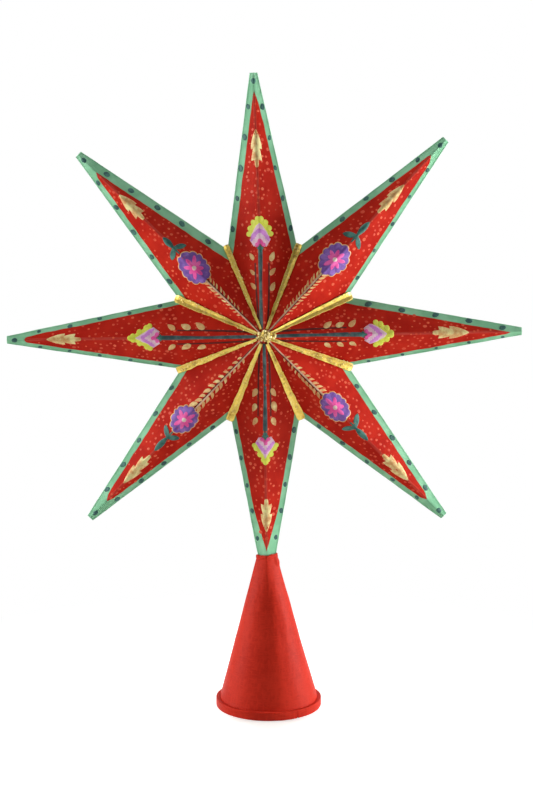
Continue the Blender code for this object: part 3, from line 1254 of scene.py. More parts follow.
def wobble(place: Sequence[float], scale: float, seed: float) -> float:
    """Smooth noise of about -1 to 1, with its waves per metre and a seed for each hand-made piece."""
    padded = (*place, 0.0, 0.0)[:3]
    return noise.noise(Vector(padded) * scale + Vector((seed * 7.13, seed * 3.71, seed * 1.37)))


# The boards

@dataclass
class BoardShell:
    """One folded board: the front or back half of a ray."""

    form: StarForm
    index: int
    face: Face
    rows: int = 132
    columns: int = 15
    gap: float = 0.0003
    wall: float = 0.0012
    fold_softness: float = 0.00042
    edge_height: float = 0.00048
    edge_bulge: float = 0.00016
    seam_depth: float = 0.00010
    wave: float = 0.00022
    wave_scale: float = 38.0
    dent: float = 0.00006
    edge_waver: float = 0.00016
    waver_scale: float = 90.0
    waver_from: float = 0.008
    soft_from: float = 0.012
    wave_from: float = 0.02
    wave_depth: float = 0.004
    crowding: float = 1.35
    bulge_height: float = 0.45
    seam_drop: float = 0.0001
    merge: float = 1e-6
    notch_stations: tuple[float, ...] = (-0.5, -0.2, 0.0, 0.2, 0.5)
    tip_stations: tuple[float, ...] = (0.15, 0.4)
    uv_step: Flat = (0.3, 0.9)

    @property
    def seed(self) -> int:
        """Sets this board's unevenness apart from the others'."""
        return self.index + 10 * self.face.value

    @property
    def name(self) -> str:
        """The piece's name."""
        return f"board_{self.form.rays[self.index].name}_{self.face.word}"

    @property
    def node(self) -> str:
        """The solid that it stands for."""
        return f"ray_{self.form.rays[self.index].name}_{self.face.word}"

    def ridge_across(self, along: float) -> float:
        """Where the fold lies at a distance along the ray."""
        (a1, c1), (a2, c2) = (self.form.slopes(self.index, side, self.face) for side in (1, -1))
        return -(a1 - a2) / (c1 - c2) * along

    def side_line(self, along: float, side: int) -> float:
        """Where the free edge lies at a distance along the ray."""
        share = (along - self.form.notch_along) / (self.form.reach(self.index) - self.form.notch_along)
        return self.form.edge_across(self.index, side, share, self.face)

    def valley_line(self, along: float, side: int) -> float:
        """Where the board ends against its neighbour."""
        half = self.form.step / 2
        return side * max(0.0, along * math.tan(half) - self.gap / 2 / math.cos(half))

    def edge_across(self, along: float, side: int) -> float:
        """The board's outline at a distance along the ray, with the free edge's slight waver.

        Args:
            along: Distance out along the ray.
            side: 1 for the anticlockwise side, -1 for the other.

        Returns:
            Distance to the ray's side.
        """
        valley, free = self.valley_line(along, side), self.side_line(along, side)
        if abs(valley) < abs(free):
            return valley
        past = min(1.0, (along - self.form.notch_along) / self.waver_from)
        return free + side * past * self.edge_waver * wobble((along, side), self.waver_scale, self.seed)

    def past_border(self, along: float, across: float, side: int) -> float:
        """How far a place lies inside the green border of one side.

        Args:
            along: Distance out along the ray.
            across: Distance to its side.
            side: 1 for the anticlockwise side, -1 for the other.

        Returns:
            The distance, which is below nothing on the border itself.
        """
        line = self.side_line(along, side)
        slope = (self.side_line(along + MILLIMETRE, side) - line) / MILLIMETRE
        return side * (line - across) / math.hypot(1, slope) - self.form.band(self.index, side, self.face)

    def skin_height(self, along: float, across: float) -> float:
        """Height of the painted skin over the star's middle plane.

        Args:
            along: Distance out along the ray.
            across: Distance to its side.

        Returns:
            The height, with the softened fold, the blunt free edge and the hand-made unevenness.
        """
        facets = [self.form.facet_height(self.index, side, along, across, self.face) for side in (1, -1)]
        low, high = min(facets), max(facets)
        soft = self.fold_softness * min(1.0, along / self.soft_from)
        folded = (low + high) / 2 - math.hypot((high - low) / 2, soft)
        blunt = math.hypot(max(folded, 0.0), self.edge_height)
        calm = min(1.0, max(0.0, folded / self.wave_depth)) * min(1.0, along / self.wave_from)
        uneven = self.wave * wobble((along, across), self.wave_scale, self.seed)
        uneven += self.dent * wobble((along, across), 5 * self.wave_scale, self.seed + 3)
        return blunt + calm * uneven

    def build(self, material: bpy.types.Material) -> bpy.types.Object:
        """Makes the board as a closed shell.

        Args:
            material: The boards' paint.

        Returns:
            The piece.
        """
        form, reach = self.form, self.form.reach(self.index)
        start = self.gap / 2 / math.sin(form.step / 2)
        stations = sorted(
            {start + (reach - start) * i / (self.rows - 1) for i in range(self.rows)}
            | {form.notch_along + d * MILLIMETRE for d in self.notch_stations}
            | {reach - d * MILLIMETRE for d in self.tip_stations}
        )
        shares = [math.sin(math.pi / 2 * j / self.columns) ** self.crowding for j in range(self.columns + 1)]
        skin, inner, gaps, ridges, tips = [], [], [], [], []
        ray = form.rays[self.index]
        for along in stations:
            ridge = self.ridge_across(along)
            for j in range(-self.columns, self.columns + 1):
                edge = self.edge_across(along, 1 if j >= 0 else -1)
                across = ridge + (edge - ridge) * shares[abs(j)]
                high = self.skin_height(along, across)
                skin.append((along, across, high))
                inner.append((along, across, max(high - self.wall, self.seam_depth)))
                gaps.append(min(self.past_border(along, across, side) for side in (1, -1)))
                ridges.append(abs(across - ridge))
                tips.append(reach - ray.bands[2] - along - ray.point * abs(across - ridge))
        rows, columns = len(stations), 2 * self.columns + 1
        around = [i * columns for i in range(rows)]
        around += [(rows - 1) * columns + j for j in range(1, columns)]
        around += [i * columns + columns - 1 for i in range(rows - 2, -1, -1)]
        bulge = [self.bulged(*skin[k]) for k in around]
        verts = skin + inner + bulge
        ring = list(range(len(skin) + len(inner), len(verts)))
        faces = grid_faces(rows, columns) + grid_faces(rows, columns, len(skin), flip=True)
        faces += rim_faces(around, ring) + rim_faces(ring, [k + len(skin) for k in around])
        place = form.matrix(self.index * form.step, self.face)
        obj = Piece.mesh(self.name, [place @ Vector(v) for v in verts], faces)
        for label, values in {"border_gap": gaps, "ridge_gap": ridges, "tip_gap": tips}.items():
            Piece.attribute(obj, label, values + values + [values[k] for k in around])
        flats = np.array([point[:2] for point in skin + inner + [skin[k] for k in around]])
        Piece.uv(obj, "board", flats + np.array(self.uv_step) * (self.index, self.face is Face.BACK))
        Piece.turn_out(obj, self.merge)
        Piece.finish(obj, Slot.RED_LACQUER, [material], self.node)
        return obj

    def bulged(self, along: float, across: float, high: float) -> Point:
        """A point of the board's edge, halfway through its thickness, pushed out where the edge is free.

        Args:
            along: Distance out along the ray.
            across: Distance to its side.
            high: The skin's height there.

        Returns:
            The point in the ray's plan.
        """
        if along <= self.form.notch_along:
            return along, across, high - self.seam_drop
        side = 1 if across > self.ridge_across(along) else -1
        at_tip = along >= self.form.reach(self.index) - self.merge
        out = along + (self.edge_bulge if at_tip else 0.0)
        return out, across + side * self.edge_bulge, high * self.bulge_height


# Paint laid on the boards

def boundary(reach: Callable[[float], float], count: int = 48, centre: Flat = (0.0, 0.0)) -> list[Flat]:
    """A closed outline from its reach in every direction.

    Args:
        reach: The reach at an angle, anticlockwise from outward along the ray.
        count: How many points the outline has.
        centre: Where the reach is measured from.

    Returns:
        The outline's points.
    """
    points = []
    for k in range(count):
        angle = FULL_TURN * k / count
        r = reach(angle)
        points.append((centre[0] + r * math.cos(angle), centre[1] + r * math.sin(angle)))
    return points


def round_blob(radius: float, seed: float, uneven: float = 0.10) -> Callable[[float], float]:
    """A hand-painted dab's reach: nearly round, never twice the same."""
    return lambda angle: radius * (1 + uneven * wobble((math.cos(angle), math.sin(angle)), 1.6, seed))


class Sketch:
    """Closed slabs of thin paint, drawn flat in a ray's plan before they are laid on the board.

    A drawing is in photo pixels of the star's plane: x out along the ray and y to its anticlockwise side.
    """

    pixel = 0.000516
    sink = 0.00007
    over_dots = 0.00014
    float_height = 0.05
    least_share = 0.05
    crowding = 0.85
    flatness = 8

    def __init__(self) -> None:
        """Starts empty."""
        self.points: list[Flat] = []
        self.lifts: list[float] = []
        self.tones: list[float] = []
        self.faces: list[tuple[int, ...]] = []
        self.paints: list[int] = []

    def slab(self, grid: Sequence[Sequence[Point]], wraps: bool, paint: int, tone: float) -> None:
        """Adds a closed slab under a grid of points.

        Args:
            grid: Rows of (x, y, lift); x and y in photo pixels, the lift in metres.
            wraps: Whether each row is a closed ring, the first one the innermost.
            paint: The paint's number in the drawing.
            tone: The stroke's own tone from 0 to 1.
        """
        rows, columns, start = len(grid), len(grid[0]), len(self.points)
        size = rows * columns
        for under in (False, True):
            for row in grid:
                for x, y, lift in row:
                    self.points.append((x * self.pixel, y * self.pixel))
                    self.lifts.append(-self.sink if under else lift + self.over_dots)
                    self.tones.append(tone)
        ring = grid_edge(rows, columns, start)
        faces = grid_faces(rows, columns, start, wraps=wraps)
        faces += grid_faces(rows, columns, start + size, flip=True, wraps=wraps)
        if wraps:
            faces.append(tuple(range(start, start + columns)))
            faces.append(tuple(range(start + size + columns - 1, start + size - 1, -1)))
            ring = [*range(start + size - columns, start + size), start + size - columns]
        faces += rim_faces(ring, [k + size for k in ring])
        self.faces += faces
        self.paints += [paint] * len(faces)

    def patch(
        self, outline: Sequence[Flat], paint: int, lift: float, base: float = 0.0, tone: float = 0.5
    ) -> None:
        """Adds a dab of paint inside an outline.

        Args:
            outline: The closed outline.
            paint: The paint's number.
            lift: Its thickness in the middle.
            base: How high it starts over the board.
            tone: Its own tone.
        """
        x0 = sum(p[0] for p in outline) / len(outline)
        y0 = sum(p[1] for p in outline) / len(outline)
        widest = max(math.hypot(x - x0, y - y0) for x, y in outline)
        rings = max(3, round(widest * 0.9))
        grid = []
        for i in range(rings + 1):
            share = self.least_share + (1 - self.least_share) * (i / rings) ** self.crowding
            high = base + lift * math.sqrt(max(0.0, 1 - share**self.flatness))
            grid.append([(x0 + (x - x0) * share, y0 + (y - y0) * share, high) for x, y in outline])
        self.slab(grid, True, paint, tone)

    def stroke(
        self,
        path: Sequence[Flat],
        half_width: Callable[[float], float],
        paint: int,
        lift: float,
        base: float = 0.0,
        tone: float = 0.5,
        shear: float = 0.0,
    ) -> None:
        """Adds a brush stroke along a path.

        Args:
            path: The stroke's middle line.
            half_width: Half its width at a share of its length.
            paint: The paint's number.
            lift: Its thickness in the middle.
            base: How high it starts over the board.
            tone: Its own tone.
            shear: How far its sides lag behind its middle, for each unit of width.
        """
        grid = []
        for i, (x, y) in enumerate(path):
            before, after = path[max(i - 1, 0)], path[min(i + 1, len(path) - 1)]
            run = math.hypot(after[0] - before[0], after[1] - before[1]) or 1.0
            ux, uy = (after[0] - before[0]) / run, (after[1] - before[1]) / run
            half = half_width(i / (len(path) - 1))
            row = []
            for j in range(-3, 4):
                off = half * math.sin(math.pi / 2 * j / 3)
                back = shear * abs(off)
                high = base + lift * math.sqrt(max(0.0, 1 - abs(j / 3) ** 3))
                row.append((x - uy * off - ux * back, y + ux * off - uy * back, high))
            grid.append(row)
        self.slab(grid, False, paint, tone)


def straight(start: Flat, end: Flat, count: int, bow: float = 0.0) -> list[Flat]:
    """Points along a line that may bow to its left.

    Args:
        start: The first point.
        end: The last point.
        count: How many points.
        bow: How far the middle strays.

    Returns:
        The points.
    """
    dx, dy = end[0] - start[0], end[1] - start[1]
    run = math.hypot(dx, dy) or 1.0
    points = []
    for i in range(count):
        t = i / (count - 1)
        off = bow * math.sin(math.pi * t)
        points.append((start[0] + dx * t - dy / run * off, start[1] + dy * t + dx / run * off))
    return points


def petal(widest: float, at: float = 0.6, blunt: float = 0.6) -> Callable[[float], float]:
    """Half width of a petal or leaf.

    Args:
        widest: Its greatest half width.
        at: The share of its length where it is widest.
        blunt: How round its ends are; smaller is rounder.

    Returns:
        Half width at a share of its length.
    """
    power = math.log(0.5) / math.log(at)

    def half(share: float) -> float:
        """Zero at both ends, apart from a bristle's width."""
        return max(0.12, widest * math.sin(math.pi * min(0.999, max(0.001, share)) ** power) ** blunt)

    return half


@dataclass(frozen=True)
class Bud:
    """A bud in profile: scalloped rim, pale layers, a chevron and a bright heart.

    Its layers are round where its point is 1 and straight-sided where it is 2.
    """

    start: float
    length: float = 30.5
    width: float = 27.4
    waist: float = 13.5
    point: float = 1.0
    lobes: int = 8
    seed: float = 0.0

    def shoulder(self, turn: float, top: float, wide: float, low: float) -> Flat:
        """A place on a layer's outer edge.

        Args:
            turn: From -1 at one shoulder to 1 at the other.
            top: The layer's height in the middle.
            wide: Its half width at the shoulders.
            low: The shoulders' height.

        Returns:
            The place in the ray's plan.
        """
        angle = math.pi / 2 * turn
        x = low + (top - low) * math.cos(angle) ** self.point
        return self.start + x, math.copysign(wide * abs(math.sin(angle)) ** self.point, turn)

    def layer(self, top: float, wide: float, low: float, foot: float, base: float = 0.0) -> list[Flat]:
        """A layer's outline: its outer edge and its sides, drawn in to its foot.

        Args:
            top: The layer's height in the middle.
            wide: Its half width at the shoulders.
            low: The shoulders' height.
            foot: Its half width at the base.
            base: Its base's height.

        Returns:
            The outline.
        """
        edge = [self.shoulder(k / 12, top, wide, low) for k in range(-12, 13)]
        sides = []
        for k in range(1, 6):
            left = 1 - k / 5
            sides.append((self.start + base + (low - base) * left, foot + (wide - foot) * left))
        return edge + sides + [(x, -y) for x, y in reversed(sides)]

    def draw(self, sketch: Sketch) -> None:
        """Draws the bud with paints 0 to 4: yellow-green, pale pink, orchid, hot pink and teal.

        Args:
            sketch: The drawing.
        """
        top, wide = self.length - 2.7, self.width / 2 - 2.7
        sketch.patch(self.layer(top + 0.8, wide + 0.8, self.waist, 5.0, self.waist - 6.0), 0, 0.00004, tone=0.8)
        for k in range(self.lobes):
            place = self.shoulder(2 * k / (self.lobes - 1) - 1, top, wide, self.waist)
            outline = boundary(round_blob(2.75, self.seed + k), 20, place)
            sketch.patch(outline, 0, 0.00010, 0.00002, tone=0.55 + 0.45 * (k % 2))
        inner = replace(self, point=min(2.0, self.point + 0.25))
        outline = inner.layer(0.76 * self.length, 0.375 * self.width, 6.4, 6.2)
        sketch.patch([self.speckled(x, y, 0.9) for x, y in outline], 1, 0.00007, 0.00007)
        chevron = [inner.shoulder(k / 20, 0.53 * self.length, 8.6, 5.4) for k in range(-20, 21)]
        sketch.stroke(chevron, self.beads, 2, 0.00007, 0.00012, tone=0.75)
        for k in range(11):
            place = inner.shoulder((k - 5) / 5.6, 0.43 * self.length, 6.9, 4.6)
            outline = boundary(round_blob(0.95 + 0.3 * wobble((k,), 0.9, self.seed), k, 0.1), 12, place)
            sketch.patch(outline, 1, 0.00007, 0.00014)
        sketch.patch(inner.layer(0.40 * self.length, 5.6, 4.4, 4.8), 1, 0.00004, 0.00013)
        sketch.patch(self.layer(0.27 * self.length, 3.7, 3.2, 3.6, 0.4), 3, 0.00004, 0.00015)
        for x, y, r in ((6.3, 0.3, 2.1), (2.4, -3.3, 2.1), (2.3, 3.1, 2.1)):
            outline = boundary(round_blob(r, self.seed + x, 0.16), 18, (self.start + x, y))
            sketch.patch(outline, 3, 0.00006, 0.00016)
        tooth = straight((self.start - 5.0, 0.0), (self.start + 2.9, 0.2), 24)
        sketch.stroke(tooth, self.crown, 4, 0.00006, 0.00019)

    def speckled(self, x: float, y: float, depth: float) -> Flat:
        """A layer's edge point moved a little, as its edge is dabbed on."""
        off = depth * wobble((x, y), 0.8, self.seed)
        return x + off, y * (1 + 0.1 * off)

    def crown(self, share: float) -> float:
        """Half width of the stem's end, which spreads under the bud and runs out in a tooth.

        Args:
            share: The share of the stroke's length.

        Returns:
            Half its width.
        """
        if share < 0.5:
            return 1.6 + 2.0 * math.exp(-(((share - 0.5) / 0.14) ** 2))
        return 0.2 + 3.4 * (1 - share) ** 1.6 / 0.33

    def beads(self, share: float) -> float:
        """Half width of the chevron, which is dabbed on bead by bead."""
        ends = min(1.0, 6 * share, 6 * (1 - share))
        return 0.25 + ends * (1.25 + 0.85 * abs(math.sin(4.5 * math.pi * share + self.seed)))


@dataclass(frozen=True)
class Daisy:
    """A round flower: gold outline, purple petals, hot-pink petals and a cream middle."""

    at: float
    along: float = 16.2
    across: float = 15.0
    petals: int = 12
    pink_petals: int = 8
    seed: float = 0.0

    def scallop(self, angle: float, grow: float) -> float:
        """The outline's reach, drawn in between petals.

        Args:
            angle: The direction, anticlockwise from outward along the ray.
            grow: The outline's size, with 1 for the whole flower.

        Returns:
            The reach.
        """
        a, b = self.along * grow, self.across * grow
        oval = a * b / math.hypot(b * math.cos(angle), a * math.sin(angle))
        toward = (math.cos(angle), math.sin(angle))
        turned = angle + 0.12 * self.seed + 0.16 * wobble(toward, 2.0, self.seed + 4)
        lobe = abs(math.sin(self.petals / 2 * turned)) ** 0.7
        return oval * (0.87 + 0.13 * lobe + 0.07 * wobble(toward, 1.5, self.seed))

    def draw(self, sketch: Sketch) -> None:
        """Draws the flower with paints 0 to 3: gold, purple, hot pink and cream.

        Args:
            sketch: The drawing.
        """
        centre = (self.at, 0.0)
        edge, ground = (boundary(lambda a: self.scallop(a, 1.0) + off, 120, centre) for off in (0.25, -0.65))
        sketch.patch(edge, 0, 0.00006)
        sketch.patch(ground, 1, 0.00005, 0.00005, tone=0.35)
        for k in range(self.petals):
            turn = FULL_TURN * (k + 0.5) / self.petals - 0.12 * self.seed
            reach = self.scallop(turn, 1.0) - 1.2
            near = (self.at + 0.25 * reach * math.cos(turn), 0.25 * reach * math.sin(turn))
            far = (self.at + reach * math.cos(turn), reach * math.sin(turn))
            tone = 0.65 + 0.6 * wobble((k, self.seed), 0.9, 2.0)
            sketch.stroke(straight(near, far, 12), petal(2.9, 0.72, 0.5), 1, 0.00008, 0.00006, tone=tone)
        for k in range(self.pink_petals):
            turn = FULL_TURN * k / self.pink_petals + 0.22 * wobble((k, self.seed), 1.3, 5.0) + 0.2 * self.seed
            reach = self.scallop(turn, 0.66) * (1 + 0.45 * wobble((k, self.seed), 1.1, 8.0))
            near = (self.at + 1.2 * math.cos(turn), 1.2 * math.sin(turn))
            far = (self.at + reach * math.cos(turn), reach * math.sin(turn))
            bow = 0.5 * wobble((k, self.seed), 1.7, 3.0)
            sketch.stroke(straight(near, far, 10, bow), petal(2.05, 0.5, 0.5), 2, 0.00007, 0.00014)
        sketch.patch(boundary(round_blob(2.4, self.seed, 0.1), 20, centre), 3, 0.00010, 0.00018)


@dataclass(frozen=True)
class Sprig:
    """Three leaves on a short stalk: one outward and two swept back."""

    at: float
    forward: float = 17.5
    back: float = 13.0
    spread: float = 125.0
    stalk: float = 8.0
    seed: float = 0.0

    def draw(self, sketch: Sketch) -> None:
        """Draws the sprig with paint 0.

        Args:
            sketch: The drawing.
        """
        leaves = ((0.0, self.forward, 3.0), (self.spread, self.back, 2.9), (-self.spread, self.back, 2.6))
        for turn, reach, half in leaves:
            angle = math.radians(turn)
            near = (self.at - 1.0 * math.cos(angle), -1.0 * math.sin(angle))
            far = (self.at + reach * math.cos(angle), reach * math.sin(angle))
            path = straight(near, far, 18, 0.6 * wobble((turn, self.seed), 0.7, 1.0))
            tone = 0.5 + 0.4 * wobble((turn,), 0.3, 2.0)
            sketch.stroke(path, petal(half, 0.55, 0.62), 0, 0.00009, tone=tone)
        path = straight((self.at - self.stalk, 0.0), (self.at + 1.0, 0.0), 8)
        sketch.stroke(path, lambda share: 0.7 + 0.8 * share, 0, 0.00005, tone=0.2)


@dataclass(frozen=True)
class Feather:
    """A gold feather: a nose toward the ray's tip, barbs swept back and a short quill."""

    inner: float
    outer: float
    half: float = 6.2

    def draw(self, sketch: Sketch) -> None:
        """Draws the feather with paint 0.

        Args:
            sketch: The drawing.
        """

        def barbed(share: float) -> float:
            """Half width from the nose to the quill's end.

            Args:
                share: The share of the feather's length.

            Returns:
                Half its width.
            """
            teeth = ((0.0, 0.45, 1.0, 0.08), (0.45, 0.77, 0.96, 0.54))
            for first, last, top, low in teeth:
                if first <= share <= last:
                    rise = (share - first) / (last - first)
                    return self.half * (low + (top - low) * math.sin(math.pi / 2 * rise) ** 0.8)
            return self.half * (0.42 - 0.6 * (share - 0.77) - 0.16 * max(0.0, (share - 0.93) / 0.07) ** 2)

        path = straight((self.outer, 0.0), (self.inner, 0.3), 46)
        sketch.stroke(path, barbed, 0, 0.00009, tone=1.0, shear=-0.55)


@dataclass(frozen=True)
class Decoration:
    """Where one ray's painted motifs stand, in photo pixels out from the star's centre."""

    bud: Bud | None = None
    daisy: Daisy | None = None
    sprig: Sprig | None = None
    feather: Feather | None = None
    stem: Flat = (7.0, 100.0)
    leaves: Flat = (66.0, 91.0)
    leaf_offset: Flat = (10.0, 10.0)
    leaf_size: Flat = (1.0, 1.0)
    leaflet: Point = (0.95, 5.5, 1.2)
    lean: float = 0.0


DECORATIONS: tuple[Decoration, ...] = (
    Decoration(
        bud=Bud(98.6, 30.0, waist=12.0, point=1.4, seed=1.0),
        feather=Feather(167.2, 203.5),
        leaves=(62.0, 86.5),
        leaf_size=(0.88, 0.88),
    ),
    Decoration(
        daisy=Daisy(101.5, 19.0, 14.2, seed=2.0),
        sprig=Sprig(133.0, 18.4, 13.8, seed=2.0),
        feather=Feather(163.6, 201.0, 5.0),
        stem=(30.0, 86.0),
        leaflet=(0.92, 4.4, 0.95),
    ),
    Decoration(
        bud=Bud(86.4, 30.5, 26.6, 12.5, point=1.25, seed=3.0),
        feather=Feather(163.8, 200.6, 5.3),
        stem=(7.0, 84.0),
        leaves=(47.5, 76.0),
        leaf_offset=(9.0, 11.0),
        leaf_size=(0.74, 0.92),
        lean=2.0,
    ),
    Decoration(
        daisy=Daisy(94.7, 18.9, 14.0, seed=4.0),
        sprig=Sprig(123.0, 14.5, 12.5, seed=4.0),
        feather=Feather(163.6, 197.2, 5.6),
        stem=(30.0, 78.0),
        leaflet=(0.82, 5.0, 1.0),
    ),
    Decoration(
        bud=Bud(103.0, 31.8, waist=10.0, point=1.85, lobes=9, seed=5.0),
        feather=Feather(181.8, 216.3, 5.4),
        leaves=(61.5, 90.5),
    ),
    Decoration(
        daisy=Daisy(115.9, 16.6, 13.2, seed=6.0),
        sprig=Sprig(140.7, 19.0, 12.0, seed=6.0),
        feather=Feather(166.4, 206.4, 5.3),
        stem=(30.0, 100.0),
        leaflet=(1.1, 6.4, 1.4),
    ),
    Decoration(
        bud=Bud(101.8, 28.5, 26.6, waist=9.5, point=1.85, lobes=9, seed=7.0),
        feather=Feather(166.0, 200.4, 5.6),
        leaves=(56.0, 85.8),
        leaf_offset=(9.0, 10.0),
    ),
    Decoration(
        daisy=Daisy(100.5, 18.0, 12.8, seed=8.0),
        sprig=Sprig(130.0, 17.9, 13.8, seed=8.0),
        feather=Feather(169.6, 206.8, 6.0),
        stem=(29.0, 82.0),
    ),
)


@dataclass
class BoardPainter:
    """Paints one board: its ground dots, its border dots and, on the front, its motifs."""

    form: StarForm
    index: int
    face: Face
    board: bpy.types.Object
    paints: dict[Paint, bpy.types.Material]
    dot_radius: float = 2.3
    dot_share: float = 0.41
    dot_inset: float = 0.47
    tip_inset: float = 0.0040

    @property
    def label(self) -> str:
        """The ray's name in a piece's name."""
        return f"{self.form.rays[self.index].name}_{self.face.word}"

    @property
    def out(self) -> Point:
        """The direction out of the star's face."""
        return (0.0, -float(self.face.value), 0.0)

    @property
    def place(self) -> Matrix:
        """Turns the ray's plan into the part's frame."""
        return self.form.matrix(self.index * self.form.step, self.face)

    def sway(self, along: float) -> float:
        """How far the ray's ridge strays to its side at a distance along it, in the same units."""
        return along * self.form.sway(self.index, self.face) / self.form.reach(self.index)

    def flat_mesh(self, name: str, sketch: Sketch, floats: bool = True) -> bpy.types.Object:
        """A drawing as a mesh in the part's frame.

        Args:
            name: The object's name.
            sketch: The drawing.
            floats: Whether it floats before the board and follows the ridge's sway, with its tones and
                paint numbers stored. A row's stroke lies about the origin and has only its lifts.

        Returns:
            The object.
        """
        if not floats:
            turn = self.place.to_3x3()
            obj = Piece.mesh(name, [turn @ Vector((x, y, 0.0)) for x, y in sketch.points], sketch.faces)
            Piece.attribute(obj, "lift", sketch.lifts)
            return obj
        verts = [self.afloat(x, y) for x, y in sketch.points]
        obj = Piece.mesh(name, verts, sketch.faces)
        Piece.attribute(obj, "lift", sketch.lifts)
        Piece.attribute(obj, "tone", sketch.tones)
        numbers = obj.data.attributes.new("paint", "INT", "FACE")
        numbers.data.foreach_set("value", np.asarray(sketch.paints, np.int32))
        return obj

    def afloat(self, along: float, across: float) -> Vector:
        """A place of the ray's plan, in metres, floating before the board beside its ridge."""
        return self.place @ Vector((along, across + self.sway(along), Sketch.float_height))

    def lay(self, name: str, sketch: Sketch, slot: Slot, *paints: Paint) -> None:
        """Lays a drawing on the board as a piece of its own.

        Args:
            name: The motif's name.
            sketch: The drawing.
            slot: The record's slot.
            paints: Its paints, in the order of the drawing's paint numbers.
        """
        obj = self.flat_mesh(f"{name}_{self.label}", sketch)
        Drawing.run(obj, [self.paints[paint] for paint in paints], board=self.board, out=self.out)
        Piece.turn_out(obj)
        Piece.finish(obj, slot, ())

    def motif(self, name: str, drawn: Bud | Daisy | Sprig | Feather, slot: Slot, *paints: Paint) -> None:
        """Draws one motif and lays it on the board.

        Args:
            name: The motif's name.
            drawn: The motif.
            slot: The record's slot.
            paints: Its paints, in the order of the drawing's paint numbers.
        """
        sketch = Sketch()
        drawn.draw(sketch)
        self.lay(name, sketch, slot, *paints)

    def row(
        self, name: str, sketch: Sketch, paint: Paint, slot: Slot, ends: Sequence[Flat], **inputs: Any
    ) -> None:
        """Lays a row of one stroke on the board.

        Args:
            name: The row's name.
            sketch: The stroke, drawn about the ray plan's origin.
            paint: Its paint.
            slot: The record's slot.
            ends: Where the row starts and where it ends, in photo pixels of the ray's plan.
            inputs: The tree's other inputs.
        """
        first, last = (self.afloat(x * Sketch.pixel, y * Sketch.pixel) for x, y in ends)
        stroke = self.flat_mesh("stroke", sketch, floats=False)
        obj = Piece.mesh(f"{name}_{self.label}", [], [])
        inputs |= {"start": first, "step": (last - first) / max(1, inputs["count"] - 1)}
        StrokeRow.run(obj, [self.paints[paint]], stroke=stroke, board=self.board, out=self.out, **inputs)
        bpy.data.objects.remove(stroke, do_unlink=True)
        Piece.turn_out(obj)
        Piece.finish(obj, slot, ())

    def ground_dots(self) -> None:
        """Scatters the small dots over the red ground."""
        obj = Piece.mesh(f"ground_dots_{self.label}", [], [])
        obj.data = self.board.data.copy()
        seed = 11 + self.index + 20 * (self.face is Face.BACK)
        GroundDots.run(obj, [self.paints[Paint.ORANGE_RED]], out=self.out, seed=seed)
        Piece.finish(obj, Slot.RED_LACQUER, ())

    def border_dots(self) -> None:
        """Sets the round teal dots along both borders and one at the tip."""
        form, pixel = self.form, Sketch.pixel
        for side, word in ((1, "left"), (-1, "right")):
            band = form.band(self.index, side, self.face)
            sketch = Sketch()
            radius = min(self.dot_radius, band / pixel * self.dot_share)
            blob = boundary(round_blob(radius, self.index + side, 0.12), 20)
            sketch.patch([(1.4 * x, 0.92 * y) for x, y in blob], 0, 0.00007)
            ends = []
            for share in form.rays[self.index].dots:
                along = form.edge_along(self.index, share)
                edge = form.edge_across(self.index, side, share, self.face)
                across = edge - side * band * self.dot_inset - self.sway(along)
                ends.append((along / pixel, across / pixel))
            self.row(
                f"border_dots_{word}", sketch, Paint.DOT_TEAL, Slot.TEAL_PAINT, ends,
                count=5, jitter=0.0004, turn=0.3, last_scale=0.95, seed=3 * self.index + side,
            )
        if form.rays[self.index].tip_dot:
            sketch = Sketch()
            tip = (form.reach(self.index) - self.tip_inset) / pixel
            blob = boundary(round_blob(self.dot_radius, self.index + 0.5, 0.15), 20)
            sketch.patch([(tip + 1.25 * x, 0.3 + y) for x, y in blob], 0, 0.00007)
            self.lay("tip_dot", sketch, Slot.TEAL_PAINT, Paint.DOT_TEAL)

    def bud(self, plan: Decoration) -> None:
        """Paints a bud with its stem, its two dark side stems and their leaves.

        Args:
            plan: Where the ray's motifs stand.
        """
        order = (Paint.LIME, Paint.PALE_PINK, Paint.ORCHID, Paint.HOT_PINK, Paint.SPRIG_TEAL)
        self.motif("bud", plan.bud, Slot.PINK_PAINT, *order)
        sketch = Sketch()
        path = straight((plan.stem[0], plan.lean), (plan.bud.start - 0.5, 0.0), 90, 0.4)
        sketch.stroke(path, lambda share: 1.35 + 0.75 * share + 0.25 * math.sin(9 * share), 0, 0.00007)
        for side, offset in ((1, plan.leaf_offset[0]), (-1, plan.leaf_offset[1])):
            path = straight((12.0, side * 4.4), (plan.leaves[1] - 5.0, side * (offset - 3.2)), 70, side * 0.5)
            sketch.stroke(path, lambda share: 0.95 - 0.35 * share, 1, 0.00004)
        self.lay("stem", sketch, Slot.TEAL_PAINT, Paint.TEAL, Paint.MAROON)
        places = zip((1, -1), ("left", "right"), plan.leaf_offset, plan.leaf_size)
        for side, word, offset, size in places:
            leaf = Sketch()
            path = straight((-3.8, -side * 1.9), (4.9, side * 2.6), 14, -side * 0.5)
            leaf.stroke(path, petal(2.7, 0.40, 0.7), 0, 0.00009)
            self.row(
                f"leaves_{word}", leaf, Paint.GOLD, Slot.GOLD_PAINT,
                [(along, side * offset) for along in plan.leaves],
                count=3, jitter=0.0003, turn=0.25, first_scale=size, last_scale=size,
                seed=5 * self.index + side,
            )

